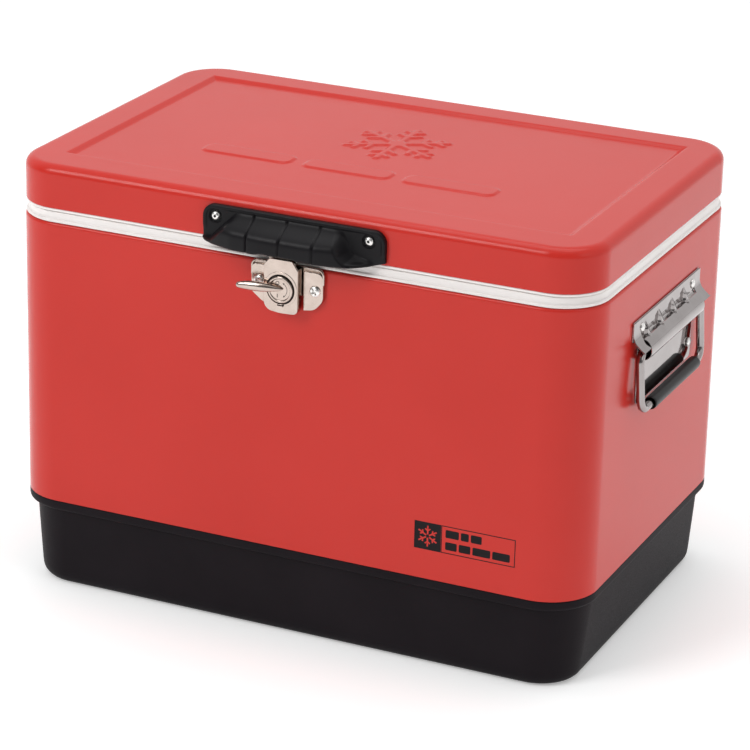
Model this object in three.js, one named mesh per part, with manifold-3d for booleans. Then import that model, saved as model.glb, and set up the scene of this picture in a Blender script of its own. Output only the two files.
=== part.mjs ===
// Steel-belted camping cooler chest: rolled steel shell over a moulded base tub, foam-filled walls,
// moulded inner liner, hinged steel-topped lid, quarter-turn hasp latch and two swinging side bails.
// Millimetres, +Z up, X across the width, front at -Y. Origin at the centre of the base's underside.
import * as THREE from 'three';
import { mergeVertices } from 'three/addons/utils/BufferGeometryUtils.js';
import Module from 'manifold-3d';

const wasm = await Module();
wasm.setup();

// ---- driving dimensions -------------------------------------------------------------------
const W = 600, D = 394.2;               // body shell width and depth
const HX = W / 2, HY = D / 2;
const Z_BELT = 93, Z_RIM = 380.2;       // lower and upper edge of the steel belt
const Z_LID = 394.3, Z_TOP = 436.2;     // lower edge and crown of the lid shell
const R_BODY = 50, R_LID = 46;          // vertical corner radii
const SHEET = 0.9;                      // sheet steel
const GAP = 0.3;                        // clearance between touching pieces
const LID_INSET = 1.5, LID_EDGE = 9.5;  // lid side set-back, rounding of its top edge
const RECESS = { x: 260.5, y0: -150.5, y1: 158, depth: 3, run: 6 };
const CAV = { top: [260, 157.1, 32], bottom: [254, 151, 28], floor: 48, wall: 3 };
const Z_PART = 391;                     // joint between body rim and lid flange
const AXIS_LID = { y: 203, z: 390.5 };  // lid hinge axis
const HINGE_X = [-170, 170], LEAF = 35;
const LATCH_X = -1.5, STRAP_HALF = 17.4, AXIS_STRAP = { y: -202, z: 386.5 };
const DISC_Z = 358.7, DISC_R = 12.2;
const KEEPER_SCREWS = [[-27, 361.2], [30.3, 359.7]];
const HANDLE = { x0: -87, x1: 99, z0: 392, z1: 427 };
const HANDLE_SCREWS = [[-74, 416], [82.5, 416]];
const SIDE_Y = 3, BAIL = { x: 306.5, z: 305.5, r: 4, half: 83, gx: 310, gz: 250, gr: 6.5, gl: 62 };
const RIVETS = [[-69, 328.2], [69, 328.2], [-67, 269], [67, 269]];
const DRAIN = { z: 66, bore: 6.8, tube: 8 };

// ---- materials ----------------------------------------------------------------------------
const mat = (c, r, m) => new THREE.MeshStandardMaterial({ color: c, roughness: r, metalness: m });
const RED = () => mat(0xc0332f, 0.3, 0.1), BLACK = () => mat(0x232226, 0.6, 0), WHITE = () => mat(0xdedad6, 0.4, 0);
const NICKEL = () => mat(0xd8c9bd, 0.3, 1), STEEL = () => mat(0xcfcac6, 0.25, 1), FOAM = () => mat(0xe8dfc0, 0.9, 0);
const GREY = () => mat(0x8f8d8b, 0.7, 0);

// ---- helpers ------------------------------------------------------------------------------
function flip(g) {
  const i = g.index.array;
  for (let k = 0; k < i.length; k += 3) { const t = i[k]; i[k] = i[k + 1]; i[k + 1] = t; }
  return g;
}
function volume(g) {
  const p = g.attributes.position, i = g.index.array; let v = 0;
  const a = new THREE.Vector3(), b = new THREE.Vector3(), c = new THREE.Vector3();
  for (let k = 0; k < i.length; k += 3) {
    a.fromBufferAttribute(p, i[k]); b.fromBufferAttribute(p, i[k + 1]); c.fromBufferAttribute(p, i[k + 2]);
    v += a.dot(b.cross(c)) / 6;
  }
  return v;
}
function body(g) {                       // closed geometry -> solid
  g = g.clone(); g.deleteAttribute('normal'); g.deleteAttribute('uv');
  g = mergeVertices(g, 1e-4);
  if (volume(g) < 0) flip(g);
  return new wasm.Manifold(new wasm.Mesh({ numProp: 3,
    vertProperties: new Float32Array(g.attributes.position.array), triVerts: new Uint32Array(g.index.array) }));
}
function geometry(solid) {
  const m = solid.getMesh(), g = new THREE.BufferGeometry();
  g.setAttribute('position', new THREE.BufferAttribute(new Float32Array(m.vertProperties), 3));
  g.setIndex(new THREE.BufferAttribute(new Uint32Array(m.triVerts), 1));
  g.computeVertexNormals();
  return g;
}
// ring of a rounded rectangle, counter-clockwise
function ring(hx, hy, r, z, n = 5, cx = 0, cy = 0) {
  const out = [];
  for (const [sx, sy, a0] of [[1, 1, 0], [-1, 1, 90], [-1, -1, 180], [1, -1, 270]])
    for (let k = 0; k <= n; k++) {
      const a = (a0 + 90 * k / n) * Math.PI / 180;
      out.push([cx + sx * (hx - r) + r * Math.cos(a), cy + sy * (hy - r) + r * Math.sin(a), z]);
    }
  return out;
}
const inset = (ix, iy, r, z) => ring(HX - ix, HY - iy, r, z);
function loft(rings, loop = false) {     // capped stack of rings, or a closed loop of them
  const n = rings[0].length, pos = [], idx = [];
  for (const r of rings) for (const p of r) pos.push(...p);
  const last = loop ? rings.length : rings.length - 1;
  for (let j = 0; j < last; j++) for (let i = 0; i < n; i++) {
    const a = j * n + i, b = j * n + (i + 1) % n, j2 = (j + 1) % rings.length;
    const c = j2 * n + (i + 1) % n, d = j2 * n + i;
    idx.push(a, b, c, a, c, d);
  }
  if (!loop) for (const [j, s] of [[0, -1], [rings.length - 1, 1]]) {
    const c = [0, 0, 0];
    for (const p of rings[j]) for (let k = 0; k < 3; k++) c[k] += p[k] / n;
    const ci = pos.length / 3; pos.push(...c);
    for (let i = 0; i < n; i++) {
      const a = j * n + i, b = j * n + (i + 1) % n;
      s > 0 ? idx.push(a, b, ci) : idx.push(b, a, ci);
    }
  }
  const g = new THREE.BufferGeometry();
  g.setAttribute('position', new THREE.Float32BufferAttribute(pos, 3));
  g.setIndex(idx);
  return body(g);
}
// prism of an outline across an axis: x -> (y, z) outline, y -> (x, z), z -> (x, y)
function prism(axis, pts, lo, hi, holes = []) {
  const s = new THREE.Shape(pts.map(p => new THREE.Vector2(p[0], p[1])));
  for (const h of holes) s.holes.push(new THREE.Path(h.map(p => new THREE.Vector2(p[0], p[1]))));
  const g = new THREE.ExtrudeGeometry(s, { depth: hi - lo, bevelEnabled: false, steps: 1 });
  const p = g.attributes.position;
  for (let k = 0; k < p.count; k++) {
    const u = p.getX(k), v = p.getY(k), w = lo + p.getZ(k);
    if (axis === 'x') p.setXYZ(k, w, u, v); else if (axis === 'y') p.setXYZ(k, u, w, v); else p.setXYZ(k, u, v, w);
  }
  g.deleteAttribute('normal'); g.deleteAttribute('uv');
  return body(mergeVertices(g, 1e-4));
}
const box = (x0, x1, y0, y1, z0, z1) => prism('z', [[x0, y0], [x1, y0], [x1, y1], [x0, y1]], z0, z1);
const circle = (u, v, r, n = 16, a0 = 0) => Array.from({ length: n }, (_, k) => {
  const a = a0 + 2 * Math.PI * k / n; return [u + r * Math.cos(a), v + r * Math.sin(a)]; });
const cyl = (axis, u, v, r, lo, hi, n = 16) => prism(axis, circle(u, v, r, n), lo, hi);
const tubeOf = (axis, u, v, ro, ri, lo, hi, n = 20) => prism(axis, circle(u, v, ro, n), lo, hi, [circle(u, v, ri, n).reverse()]);
const sum = (...s) => s.reduce((a, b) => a.add(b));
const less = (s, ...cuts) => cuts.reduce((a, b) => a.subtract(b), s);
function lathe(profile, n, place) {      // profile of [radius, height] from axis to axis
  const g = new THREE.LatheGeometry(profile.map(p => new THREE.Vector2(p[0], p[1])), n);
  g.applyMatrix4(place);
  g.deleteAttribute('normal'); g.deleteAttribute('uv');
  return body(clean(mergeVertices(g, 1e-4)));
}
function clean(g) {                      // drops the collapsed triangles at a lathe's poles
  const i = g.index.array, out = [];
  for (let k = 0; k < i.length; k += 3)
    if (i[k] !== i[k + 1] && i[k + 1] !== i[k + 2] && i[k] !== i[k + 2]) out.push(i[k], i[k + 1], i[k + 2]);
  g.setIndex(out); return g;
}
// matrix that stands a lathe (axis +Y) at a point, pointing along dir
function stand(at, dir) {
  const q = new THREE.Quaternion().setFromUnitVectors(new THREE.Vector3(0, 1, 0), new THREE.Vector3(...dir).normalize());
  return new THREE.Matrix4().compose(new THREE.Vector3(...at), q, new THREE.Vector3(1, 1, 1));
}
// fastener with a domed head: head seats at `at` and stands out along dir, shank runs back by `len`
function fastener(at, dir, rHead, hHead, rShank, len, n = 8) {
  return lathe([[0, -len], [rShank, -len], [rShank, 0], [rHead, 0], [rHead, hHead * 0.35], [rHead * 0.72, hHead * 0.85], [0, hHead]], n, stand(at, dir));
}
const shankHole = (at, dir, r, out, len) => lathe([[0, -len], [r, -len], [r, out], [0, out]], 8, stand(at, dir));

const group = new THREE.Group();
function add(name, solid, material) {
  const m = new THREE.Mesh(geometry(solid), material);
  m.name = name; group.add(m);
}

// ---- fasteners first: their shanks cut the pieces they pass through -------------------------
const fast = {}, holes = { body: [], lid: [] };
const LEN = 13;
KEEPER_SCREWS.forEach(([x, z], k) => {
  const at = [x, -HY - 2.4, z], d = [0, -1, 0];
  fast[`keeper_screw_${k ? 'right' : 'left'}`] = fastener(at, d, 5.5, 3.4, 2, LEN);
  holes.body.push(shankHole(at, d, 2.3, 1, LEN + 0.5));
});
HANDLE_SCREWS.forEach(([x, z], k) => {
  const at = [x, -HY - 2.8, z], d = [0, -1, 0];
  fast[`handle_screw_${k ? 'right' : 'left'}`] = fastener(at, d, 4.4, 3.2, 2, LEN);
  holes.lid.push(shankHole(at, d, 2.3, 1, LEN + 0.5));
});
for (const [side, s] of [['right', 1], ['left', -1]])
  RIVETS.forEach(([y, z], k) => {
    const at = [s * (HX + 2.0), SIDE_Y + y, z], d = [s, 0, 0];
    fast[`${side}_handle_rivet_${k + 1}`] = fastener(at, d, 4.6, 2.2, 2, LEN);
    holes.body.push(shankHole(at, d, 2.3, 1, LEN + 0.5));
  });
HINGE_X.forEach((hx, h) => [-1, 1].forEach((s, k) => {
  const tag = `${h ? 'right' : 'left'}_hinge`, w = k ? 'b' : 'a';
  const at1 = [hx + s * 22, HY + 2.4, 366], at2 = [hx + s * 22, HY + 0.9, 412], d = [0, 1, 0];
  fast[`${tag}_body_screw_${w}`] = fastener(at1, d, 4, 2.4, 2, LEN);
  fast[`${tag}_lid_screw_${w}`] = fastener(at2, d, 4, 2.4, 2, LEN);
  holes.body.push(shankHole(at1, d, 2.3, 1, LEN + 0.5));
  holes.lid.push(shankHole(at2, d, 2.3, 1, LEN + 0.5));
}));
[-9, 6].forEach((x, k) => {
  const at = [x, -HY - 0.6, 405], d = [0, -1, 0];
  fast[`latch_bracket_rivet_${k ? 'right' : 'left'}`] = fastener(at, d, 3, 1, 1.5, 8);
  holes.lid.push(shankHole(at, d, 1.8, 0.4, 8.5));
});

// ---- body ---------------------------------------------------------------------------------
const drainAt = (r, lo, hi, n = 20) => cyl('x', 0, DRAIN.z, r, lo, hi, n);
let tub = loft([
  inset(21, 18, 35, 0), inset(15, 12, 40, 3), inset(12, 9, 42, 13),
  inset(5.5, 5.5, 51, 82), inset(1.6, 1.6, 50.5, 83.6), inset(0, 0, R_BODY, 85.6), inset(0, 0, R_BODY, Z_BELT - GAP),
  inset(3, 3, 47, Z_BELT - GAP), inset(3.6, 3.6, 47, 84), inset(8.5, 8.5, 48, 80), inset(15, 12, 39, 14), inset(19, 16, 36, 4)]);
tub = less(sum(tub, drainAt(18, -294, -284)), drainAt(DRAIN.tube + GAP, -300, -280));
add('base_tub', tub, BLACK());

let shell = loft([inset(0, 0, R_BODY, Z_BELT), inset(0, 0, R_BODY, 377.5), inset(0.6, 0.6, 49.5, 379.4), inset(1.4, 1.4, 49, Z_RIM),
  inset(2.3, 2.3, 48, Z_RIM), inset(1.5, 1.5, 48.6, 379), inset(SHEET, SHEET, 49.1, 377), inset(SHEET, SHEET, 49.1, Z_BELT)], true);
shell = less(shell, ...holes.body);
add('body_shell', shell, RED());

const cav = (e, [x, y, r], z) => ring(x + e, y + e, r + e, z);
let liner = loft([
  cav(-1, CAV.bottom, CAV.floor - 3), cav(3, CAV.bottom, CAV.floor + 4), cav(3, CAV.top, 380.5),
  inset(0.9, 0.9, 49.2, 380.5), inset(0.8, 0.8, 49.2, 383.2), inset(3, 3, 47, 384.4), inset(3, 3, 47, 389.8), inset(3.8, 3.8, 46.4, 390.6),
  cav(1, CAV.top, 390.6), cav(0, CAV.top, 389.6), cav(0, CAV.bottom, CAV.floor + 6), cav(-4, CAV.bottom, CAV.floor)]);
liner = less(liner, drainAt(DRAIN.tube + GAP, -270, -240));
let foam = loft([inset(21, 18, 34, 4.4), inset(15.5, 12.5, 38, 14.5), inset(9, 9, 47, 80), inset(4.2, 4.2, 46, 84.4), inset(3.5, 3.5, 46, 379.9),
  cav(3.3, CAV.top, 379.9), cav(3.3, CAV.bottom, CAV.floor + 3.7), cav(-1, CAV.bottom, CAV.floor - 3.4)]);
foam = less(foam, ...holes.body, drainAt(18.4, -300, -283.6), drainAt(DRAIN.tube + GAP, -300, -240));
add('body_insulation', foam, FOAM());
add('inner_liner', liner, WHITE());

// ---- lid ----------------------------------------------------------------------------------
const arcs = (t) => [0, 30, 55, 75, 90].map(a => {
  const c = Math.cos(a * Math.PI / 180), s = Math.sin(a * Math.PI / 180), e = LID_EDGE - t;
  return inset(LID_INSET + t + e * (1 - c), LID_INSET + t + e * (1 - c), R_LID - t - e * (1 - c), Z_TOP - LID_EDGE + e * s);
});
const li = (t, z) => inset(LID_INSET + t, LID_INSET + t, R_LID - t, z);
const frustum = (t) => {
  const q = (z, e) => [[-RECESS.x - e, RECESS.y0 - e, z], [RECESS.x + e, RECESS.y0 - e, z], [RECESS.x + e, RECESS.y1 + e, z], [-RECESS.x - e, RECESS.y1 + e, z]];
  const k = RECESS.run / RECESS.depth;
  return loft([q(Z_TOP - RECESS.depth - t, -RECESS.run + 1.2 * t), q(Z_TOP + 2, 2 * k + 1.2 * t)]);
};
const lidOuter = loft([li(0, Z_LID), ...arcs(0)]);
const lidInner = loft([li(SHEET, Z_LID - 3), ...arcs(SHEET)]);
add('lid_shell', less(lidOuter, frustum(0), lidInner.subtract(frustum(SHEET)), ...holes.lid), RED());
const lidFoam = loft([ring(252.6, 149.7, 24.5, 380.9), ring(253.1, 150.2, 25, 397.3), inset(4.6, 4.6, 42, 397.3), li(1.3 + 1.2, 420), ...arcs(SHEET + 0.4)]);
add('lid_insulation', less(lidFoam, frustum(SHEET + 0.4), ...holes.lid), FOAM());
let lidLiner = loft([ring(250, 147.1, 24, 377.6), ring(256, 153.1, 28, 382), ring(256.5, 153.6, 28.5, Z_PART + 0.3),
  inset(2.6, 2.6, 45, Z_PART + 0.3), inset(1.8, 1.8, 45.7, Z_PART + 1.1), inset(1.8, 1.8, 45.7, Z_LID - GAP), inset(3.6, 3.6, 44, Z_LID - GAP), inset(3.6, 3.6, 44, 397),
  ring(253.5, 150.6, 25.4, 397), ring(253, 150.1, 25, 380.6)]);
const ringSolid = (i0, i1, z0, z1) => loft([inset(i0, i0, 50 - i0, z0), inset(i0, i0, 50 - i0, z1), inset(i1, i1, 50 - i1, z1), inset(i1, i1, 50 - i1, z0)], true);
add('lid_liner', less(lidLiner, ringSolid(14, 22, 390, 394.7)), WHITE());
add('lid_gasket', ringSolid(14.4, 21.6, Z_PART - 0.1, 394.3), GREY());

// ---- front handle ---------------------------------------------------------------------------
const yl = -(HY - LID_INSET);            // lid front face
const fl = (x0, x1, z0, z1, r, n = 4) => {   // outline with rounded top corners
  const o = [[x0 + 6, z0], [x1 - 6, z0], [x1, z0 + 5]];
  for (let k = 0; k <= n; k++) { const a = Math.PI / 2 * k / n; o.push([x1 - r + r * Math.cos(a), z1 - r + r * Math.sin(a)]); }
  for (let k = 0; k <= n; k++) { const a = Math.PI / 2 * (1 + k / n); o.push([x0 + r + r * Math.cos(a), z1 - r + r * Math.sin(a)]); }
  o.push([x0, z0 + 5]);
  return o;
};
const face = (y, x0, x1, z0, z1, c) => [[x0, y, z0], [x1, y, z0], [x1, y, z1 - c], [x1 - c, y, z1], [x0 + c, y, z1], [x0, y, z1 - c]];
const hood = loft([face(-198.5, -68, 76, 392, 420, 8), face(-218.5, -62, 68, 392, 408, 6), face(-222, -58, 64, 392.6, 403.5, 5)]);
const hoodHollow = loft([face(-200.2, -64, 72, 388, 415.5, 7), face(-216, -58.5, 64.5, 388, 406, 5), face(-218.6, -55.5, 61.5, 388, 402, 4)]);
let handle = less(sum(prism('y', fl(HANDLE.x0, HANDLE.x1, HANDLE.z0, HANDLE.z1, 12), -199.6, yl - GAP), hood,
  prism('y', fl(HANDLE.x0, HANDLE.x1, 423.8, HANDLE.z1, 12).filter(p => p[1] >= 423.8), -201.2, -199)), hoodHollow);
handle = less(handle, box(-15.5, 12.5, -198.9, -195, 380, 414.6), ...holes.lid);
add('front_handle', handle, BLACK());

// ---- latch ----------------------------------------------------------------------------------
const kx = LATCH_X;
let keeper = prism('y', [[-35.5, 350], [-22, 340.8], [-13, 338.8], [19, 338.8], [28, 341.2], [34.5, 346], [38.2, 353], [38.2, 375.5], [35.7, 378], [-33, 378], [-35.5, 375.5]], -199.2, -HY - GAP);
keeper = sum(keeper, box(-35, -19.6, -202.4, -198, 376.6, 378), box(18.2, 38, -202.4, -198, 376.6, 378),
  box(-16.2, -14.8, -204.2, -198, 352, 367), box(-16.2, -7.8, -204.2, -202.7, 352, 367));
const ears = KEEPER_SCREWS.map(([x, z]) => cyl('y', x, z, 2.3, -204, -190, 8));
add('keeper_plate', less(keeper, ...ears), NICKEL());

const sx0 = kx - STRAP_HALF, sx1 = kx + STRAP_HALF;
const strapOut = [[sx0, 345], [sx0 + 2.2, 341], [sx0 + 7, 337.8], [kx, 336.2], [sx1 - 8, 336.2], [sx1 - 2.2, 338.6], [sx1, 342], [sx1, 379], [sx1 - 6, 387.6], [sx0 + 6, 387.6], [sx0, 381]];
let strap = sum(less(prism('y', strapOut, -209.1, -207.6), cyl('y', kx, DISC_Z, 14.4, -211, -205, 24)),
  tubeOf('y', kx, DISC_Z, 15.7, 14.4, -208.4, -205.2, 24), tubeOf('y', kx, DISC_Z, 15.1, 4.4, -206.4, -205.2, 24),
  box(sx0, sx0 + 1.1, -208, -200.8, 345, 381), box(sx1 - 1.1, sx1, -208, -200.8, 342, 379),
  box(sx0, sx0 + 7.6, -208, -203.5, 383, 386), box(sx1 - 7.6, sx1 - 2.4, -208, -203.5, 383, 384.2),
  cyl('x', AXIS_STRAP.y, AXIS_STRAP.z, 3.1, sx0, sx0 + 7.6, 16), cyl('x', AXIS_STRAP.y, AXIS_STRAP.z, 3.1, sx1 - 7.6, sx1, 16));
strap = less(strap, cyl('x', AXIS_STRAP.y, AXIS_STRAP.z, 1.9, sx0 - 1, sx1 + 1, 16));
add('latch_strap', strap, NICKEL());
const bracket = less(sum(box(-15, 12, -197.4, -195.9, 385.2, 414), box(-9.8, 6.8, -202, -196.5, 386.6, 389.4),
  cyl('x', AXIS_STRAP.y, AXIS_STRAP.z, 3.1, -9.8, 6.8, 16)), cyl('x', AXIS_STRAP.y, AXIS_STRAP.z, 1.9, -20, 20, 16), ...holes.lid);
add('latch_bracket', bracket, NICKEL());
add('latch_pin', cyl('x', AXIS_STRAP.y, AXIS_STRAP.z, 1.6, sx0 + 0.2, sx1 - 0.2, 12), STEEL());
add('latch_disc', sum(cyl('y', kx, DISC_Z, DISC_R, -211.2, -206.7, 24), cyl('y', kx, DISC_Z, 4, -207, -202.2, 16)), NICKEL());
add('latch_cam', sum(cyl('y', kx, DISC_Z, 5, -201.9, -200.3, 16), box(kx - 3, kx + 3, -201.9, -200.3, DISC_Z, DISC_Z + 10.5)), STEEL());
const leverDir = new THREE.Vector3(-44.6, -4.6, -0.9).normalize();
const lever = lathe([[0, 0], [2, 0.8], [3.2, 4], [4.3, 12], [4.8, 24], [4.5, 34], [3.6, 41], [2.1, 44.4], [0, 45]], 12,
  stand([1.2, -212.6, 359.6], leverDir.toArray()));
add('latch_lever', less(lever, box(-60, 30, -211.5, -190, 330, 390)), NICKEL());

// ---- side handles ----------------------------------------------------------------------------
function sideHandle(side, s) {
  const X = v => s * v, order = pts => s > 0 ? pts : pts.map(p => [-p[0], p[1]]);
  const px = (pts, lo, hi) => prism('y', order(pts), lo, hi);
  const arc = (r, a0, a1, n) => Array.from({ length: n + 1 }, (_, k) => { const a = (a0 + (a1 - a0) * k / n) * Math.PI / 180; return [305 + r * Math.cos(a), 306.5 + r * Math.sin(a)]; });
  const barrel = [[300.5, 315], ...arc(8.5, 90, -90, 8), [300.5, 298]];
  const bore = [[301.7, 313.7], ...arc(7.2, 90, -90, 8), [301.7, 299.3]];
  let p = sum(px([[300.3, 252], [301.6, 252], [301.6, 322], [300.3, 322]], SIDE_Y - 75, SIDE_Y + 75),
    px([[300.3, 319], [301.6, 319], [303.4, 320.6], [315.4, 310.6], [316.4, 311.6], [304.2, 322.2], [301.7, 323.2], [301.7, 338.5], [300.3, 338.5]], SIDE_Y - 91, SIDE_Y + 91),
    px(barrel, SIDE_Y - 75, SIDE_Y + 75));
  p = less(p, px(bore, SIDE_Y - 90, SIDE_Y + 90), ...RIVETS.map(([y, z]) => cyl('x', SIDE_Y + y, z, 2.3, s > 0 ? 296 : -306, s > 0 ? 306 : -296, 8)));
  add(`${side}_handle_plate`, p, STEEL());
  // bail: 8 mm rod bent to a U, its ends turned in along the hinge axis
  const P = [], r = 13, b = BAIL;
  const corner = (c, u, v, rad, n = 5) => { for (let k = 0; k <= n; k++) { const a = Math.PI / 2 * k / n;
    P.push(new THREE.Vector3(...c.map((q, i) => q + rad * (u[i] * Math.cos(a) + v[i] * Math.sin(a))))); } };
  const tilt = (b.gx - b.x) / (b.z - b.gz);
  const at = (y, z) => [X(b.x + (b.z - z) * tilt), SIDE_Y + y, z];
  P.push(new THREE.Vector3(...at(-66, b.z)), new THREE.Vector3(...at(-73, b.z)));
  corner(at(-b.half + 8, b.z - 8), [0, 0, 1], [0, -1, 0], 8);
  corner(at(-b.half + r, b.gz + r), [0, -1, 0], [0, 0, -1], r);
  P.push(new THREE.Vector3(...at(-66, b.gz)), new THREE.Vector3(...at(-30, b.gz)), new THREE.Vector3(...at(30, b.gz)), new THREE.Vector3(...at(66, b.gz)));
  corner(at(b.half - r, b.gz + r), [0, 0, -1], [0, 1, 0], r);
  corner(at(b.half - 8, b.z - 8), [0, 1, 0], [0, 0, 1], 8);
  P.push(new THREE.Vector3(...at(73, b.z)), new THREE.Vector3(...at(66, b.z)));
  // swept octagon, one ring per point
  const rings = P.map((p0, k) => {
    const t = (P[Math.min(k + 1, P.length - 1)].clone().sub(P[Math.max(k - 1, 0)])).normalize();
    const nrm = new THREE.Vector3(1, 0, s * tilt).normalize(), bi = new THREE.Vector3().crossVectors(t, nrm).normalize();
    const n2 = new THREE.Vector3().crossVectors(bi, t);
    return Array.from({ length: 8 }, (_, i) => { const a = 2 * Math.PI * i / 8;
      return p0.clone().addScaledVector(n2, b.r * Math.cos(a)).addScaledVector(bi, b.r * Math.sin(a)).toArray(); });
  });
  add(`${side}_bail`, loft(rings), STEEL());
  const gxc = X(b.gx);
  add(`${side}_grip`, prism('y', circle(gxc, b.gz, b.gr, 16), SIDE_Y + 4.2 - b.gl, SIDE_Y + 4.2 + b.gl, [circle(gxc, b.gz, b.r + 0.4, 16).reverse()]), BLACK());
}
sideHandle('right', 1);
sideHandle('left', -1);

// ---- rear hinges -----------------------------------------------------------------------------
HINGE_X.forEach((hx, h) => {
  const t = `${h ? 'right' : 'left'}_hinge`, { y, z } = AXIS_LID, k = 12;
  const hole = cyl('x', y, z, 2.8, hx - 50, hx + 50, 16);
  add(`${t}_body_leaf`, less(sum(box(hx - LEAF, hx + LEAF, HY + GAP, HY + 2.1, 350, 386), box(hx - LEAF, hx - k, HY + 1, y, 382, 388), box(hx + k, hx + LEAF, HY + 1, y, 382, 388),
    cyl('x', y, z, 5, hx - LEAF, hx - k, 20), cyl('x', y, z, 5, hx + k, hx + LEAF, 20)), hole,
    ...[-22, 22].map(q => cyl('y', hx + q, 366, 2.3, 190, 205, 8)), box(hx - k, hx + k, HY - 1, y + 10, 384.5, 400)), STEEL());
  add(`${t}_lid_leaf`, less(sum(box(hx - LEAF, hx + LEAF, HY - LID_INSET + GAP, HY - LID_INSET + 2.1, 397.5, 426), box(hx - k + 0.3, hx + k - 0.3, HY - LID_INSET + GAP + 0.2, y, 391.5, 400),
    cyl('x', y, z, 5, hx - k + 0.3, hx + k - 0.3, 20)), hole, ...[-22, 22].map(q => cyl('y', hx + q, 412, 2.3, 190, 205, 8))), STEEL());
  add(`${t}_pin`, cyl('x', y, z, 2.5, hx - LEAF - 1, hx + LEAF + 1, 12), STEEL());
});

// ---- drain on the left side --------------------------------------------------------------------
add('drain_spout', less(sum(drainAt(13, -297.8, -294.7), drainAt(DRAIN.tube, -296, -247), box(-297.8, -294.7, -6, 6, DRAIN.z, DRAIN.z + 13)), drainAt(DRAIN.bore, -310, -240)), WHITE());
add('drain_nut', less(drainAt(12.5, -253.4, -249.6, 6), drainAt(DRAIN.tube + GAP, -260, -245)), WHITE());
add('drain_cap', sum(drainAt(12, -301.1, -298.1), drainAt(DRAIN.bore - 1.1, -298.3, -294.7), box(-300.4, -298.1, -4, 4, DRAIN.z, DRAIN.z + 13)), WHITE());

for (const [n, s] of Object.entries(fast)) add(n, s, n.includes('rivet') || n.includes('hinge') ? STEEL() : NICKEL());

export default group;
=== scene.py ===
# Looks for the insulated cooler chest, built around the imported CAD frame.
import math
import bpy, bmesh
import numpy as np
from mathutils import Vector, Matrix
from mathutils.geometry import tessellate_polygon


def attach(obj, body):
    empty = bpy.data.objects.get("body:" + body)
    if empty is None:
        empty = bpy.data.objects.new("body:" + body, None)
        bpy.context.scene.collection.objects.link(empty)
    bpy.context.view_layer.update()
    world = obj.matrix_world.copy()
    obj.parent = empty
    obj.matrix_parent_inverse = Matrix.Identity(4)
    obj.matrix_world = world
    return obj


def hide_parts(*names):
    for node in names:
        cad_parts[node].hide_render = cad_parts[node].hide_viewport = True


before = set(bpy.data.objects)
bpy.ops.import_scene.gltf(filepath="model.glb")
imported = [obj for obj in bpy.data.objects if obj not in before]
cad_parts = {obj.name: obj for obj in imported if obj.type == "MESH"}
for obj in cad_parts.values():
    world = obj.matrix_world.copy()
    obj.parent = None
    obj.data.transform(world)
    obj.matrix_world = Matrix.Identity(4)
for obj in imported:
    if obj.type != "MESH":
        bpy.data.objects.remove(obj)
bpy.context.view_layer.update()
scene = bpy.context.scene
MM = 0.001

# ------------------------------------------------------------------ camera
def make_camera():
    az, el, roll = math.radians(24.194), math.radians(20.985), math.radians(1.415)
    back = Vector((math.sin(az) * math.cos(el), -math.cos(az) * math.cos(el), math.sin(el)))
    right = Vector((math.cos(az), math.sin(az), 0))
    up = back.cross(right)
    r2 = right * math.cos(roll) + up * math.sin(roll)
    u2 = -right * math.sin(roll) + up * math.cos(roll)
    target = Vector((2.14, 0, 203.966)) * MM
    cam = bpy.data.cameras.new("camera")
    cam.sensor_width = 36
    cam.lens = 3270.956 * 36 / 750
    cam.clip_start, cam.clip_end = 0.1, 60
    ob = bpy.data.objects.new("camera", cam)
    m = Matrix.Identity(4)
    for i, v in enumerate((r2, u2, back)):
        for k in range(3):
            m[k][i] = v[k]
    p = target + back * (3246.742 * MM)
    for k in range(3):
        m[k][3] = p[k]
    ob.matrix_world = m
    scene.collection.objects.link(ob)
    scene.camera = ob
    return back, right

CAM_BACK, CAM_RIGHT = make_camera()

# ------------------------------------------------------------------ materials
def new_mat(name):
    m = bpy.data.materials.new(name)
    m.use_nodes = True
    nt = m.node_tree
    nt.nodes.clear()
    out = nt.nodes.new("ShaderNodeOutputMaterial")
    bsdf = nt.nodes.new("ShaderNodeBsdfPrincipled")
    nt.links.new(bsdf.outputs[0], out.inputs[0])
    co = nt.nodes.new("ShaderNodeTexCoord")
    return m, nt, bsdf, co

def noise(nt, co, scale, detail=3.0, rough=0.5, stretch=None, distortion=0.0):
    n = nt.nodes.new("ShaderNodeTexNoise")
    n.inputs["Scale"].default_value = scale
    n.inputs["Detail"].default_value = detail
    n.inputs["Roughness"].default_value = rough
    n.inputs["Distortion"].default_value = distortion
    if stretch:
        mp = nt.nodes.new("ShaderNodeMapping")
        mp.inputs["Scale"].default_value = stretch
        nt.links.new(co.outputs["Object"], mp.inputs[0])
        nt.links.new(mp.outputs[0], n.inputs["Vector"])
    else:
        nt.links.new(co.outputs["Object"], n.inputs["Vector"])
    return n

def ramp(nt, src, stops):
    r = nt.nodes.new("ShaderNodeValToRGB")
    e = r.color_ramp.elements
    while len(e) > 1:
        e.remove(e[-1])
    e[0].position, e[0].color = stops[0][0], (*stops[0][1], 1) if len(stops[0][1]) == 3 else stops[0][1]
    for p, c in stops[1:]:
        x = e.new(p)
        x.color = (*c, 1) if len(c) == 3 else c
    nt.links.new(src, r.inputs[0])
    return r

def mrange(nt, src, lo, hi, a=0.0, b=1.0):
    r = nt.nodes.new("ShaderNodeMapRange")
    r.inputs["From Min"].default_value, r.inputs["From Max"].default_value = a, b
    r.inputs["To Min"].default_value, r.inputs["To Max"].default_value = lo, hi
    nt.links.new(src, r.inputs["Value"])
    return r

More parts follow.
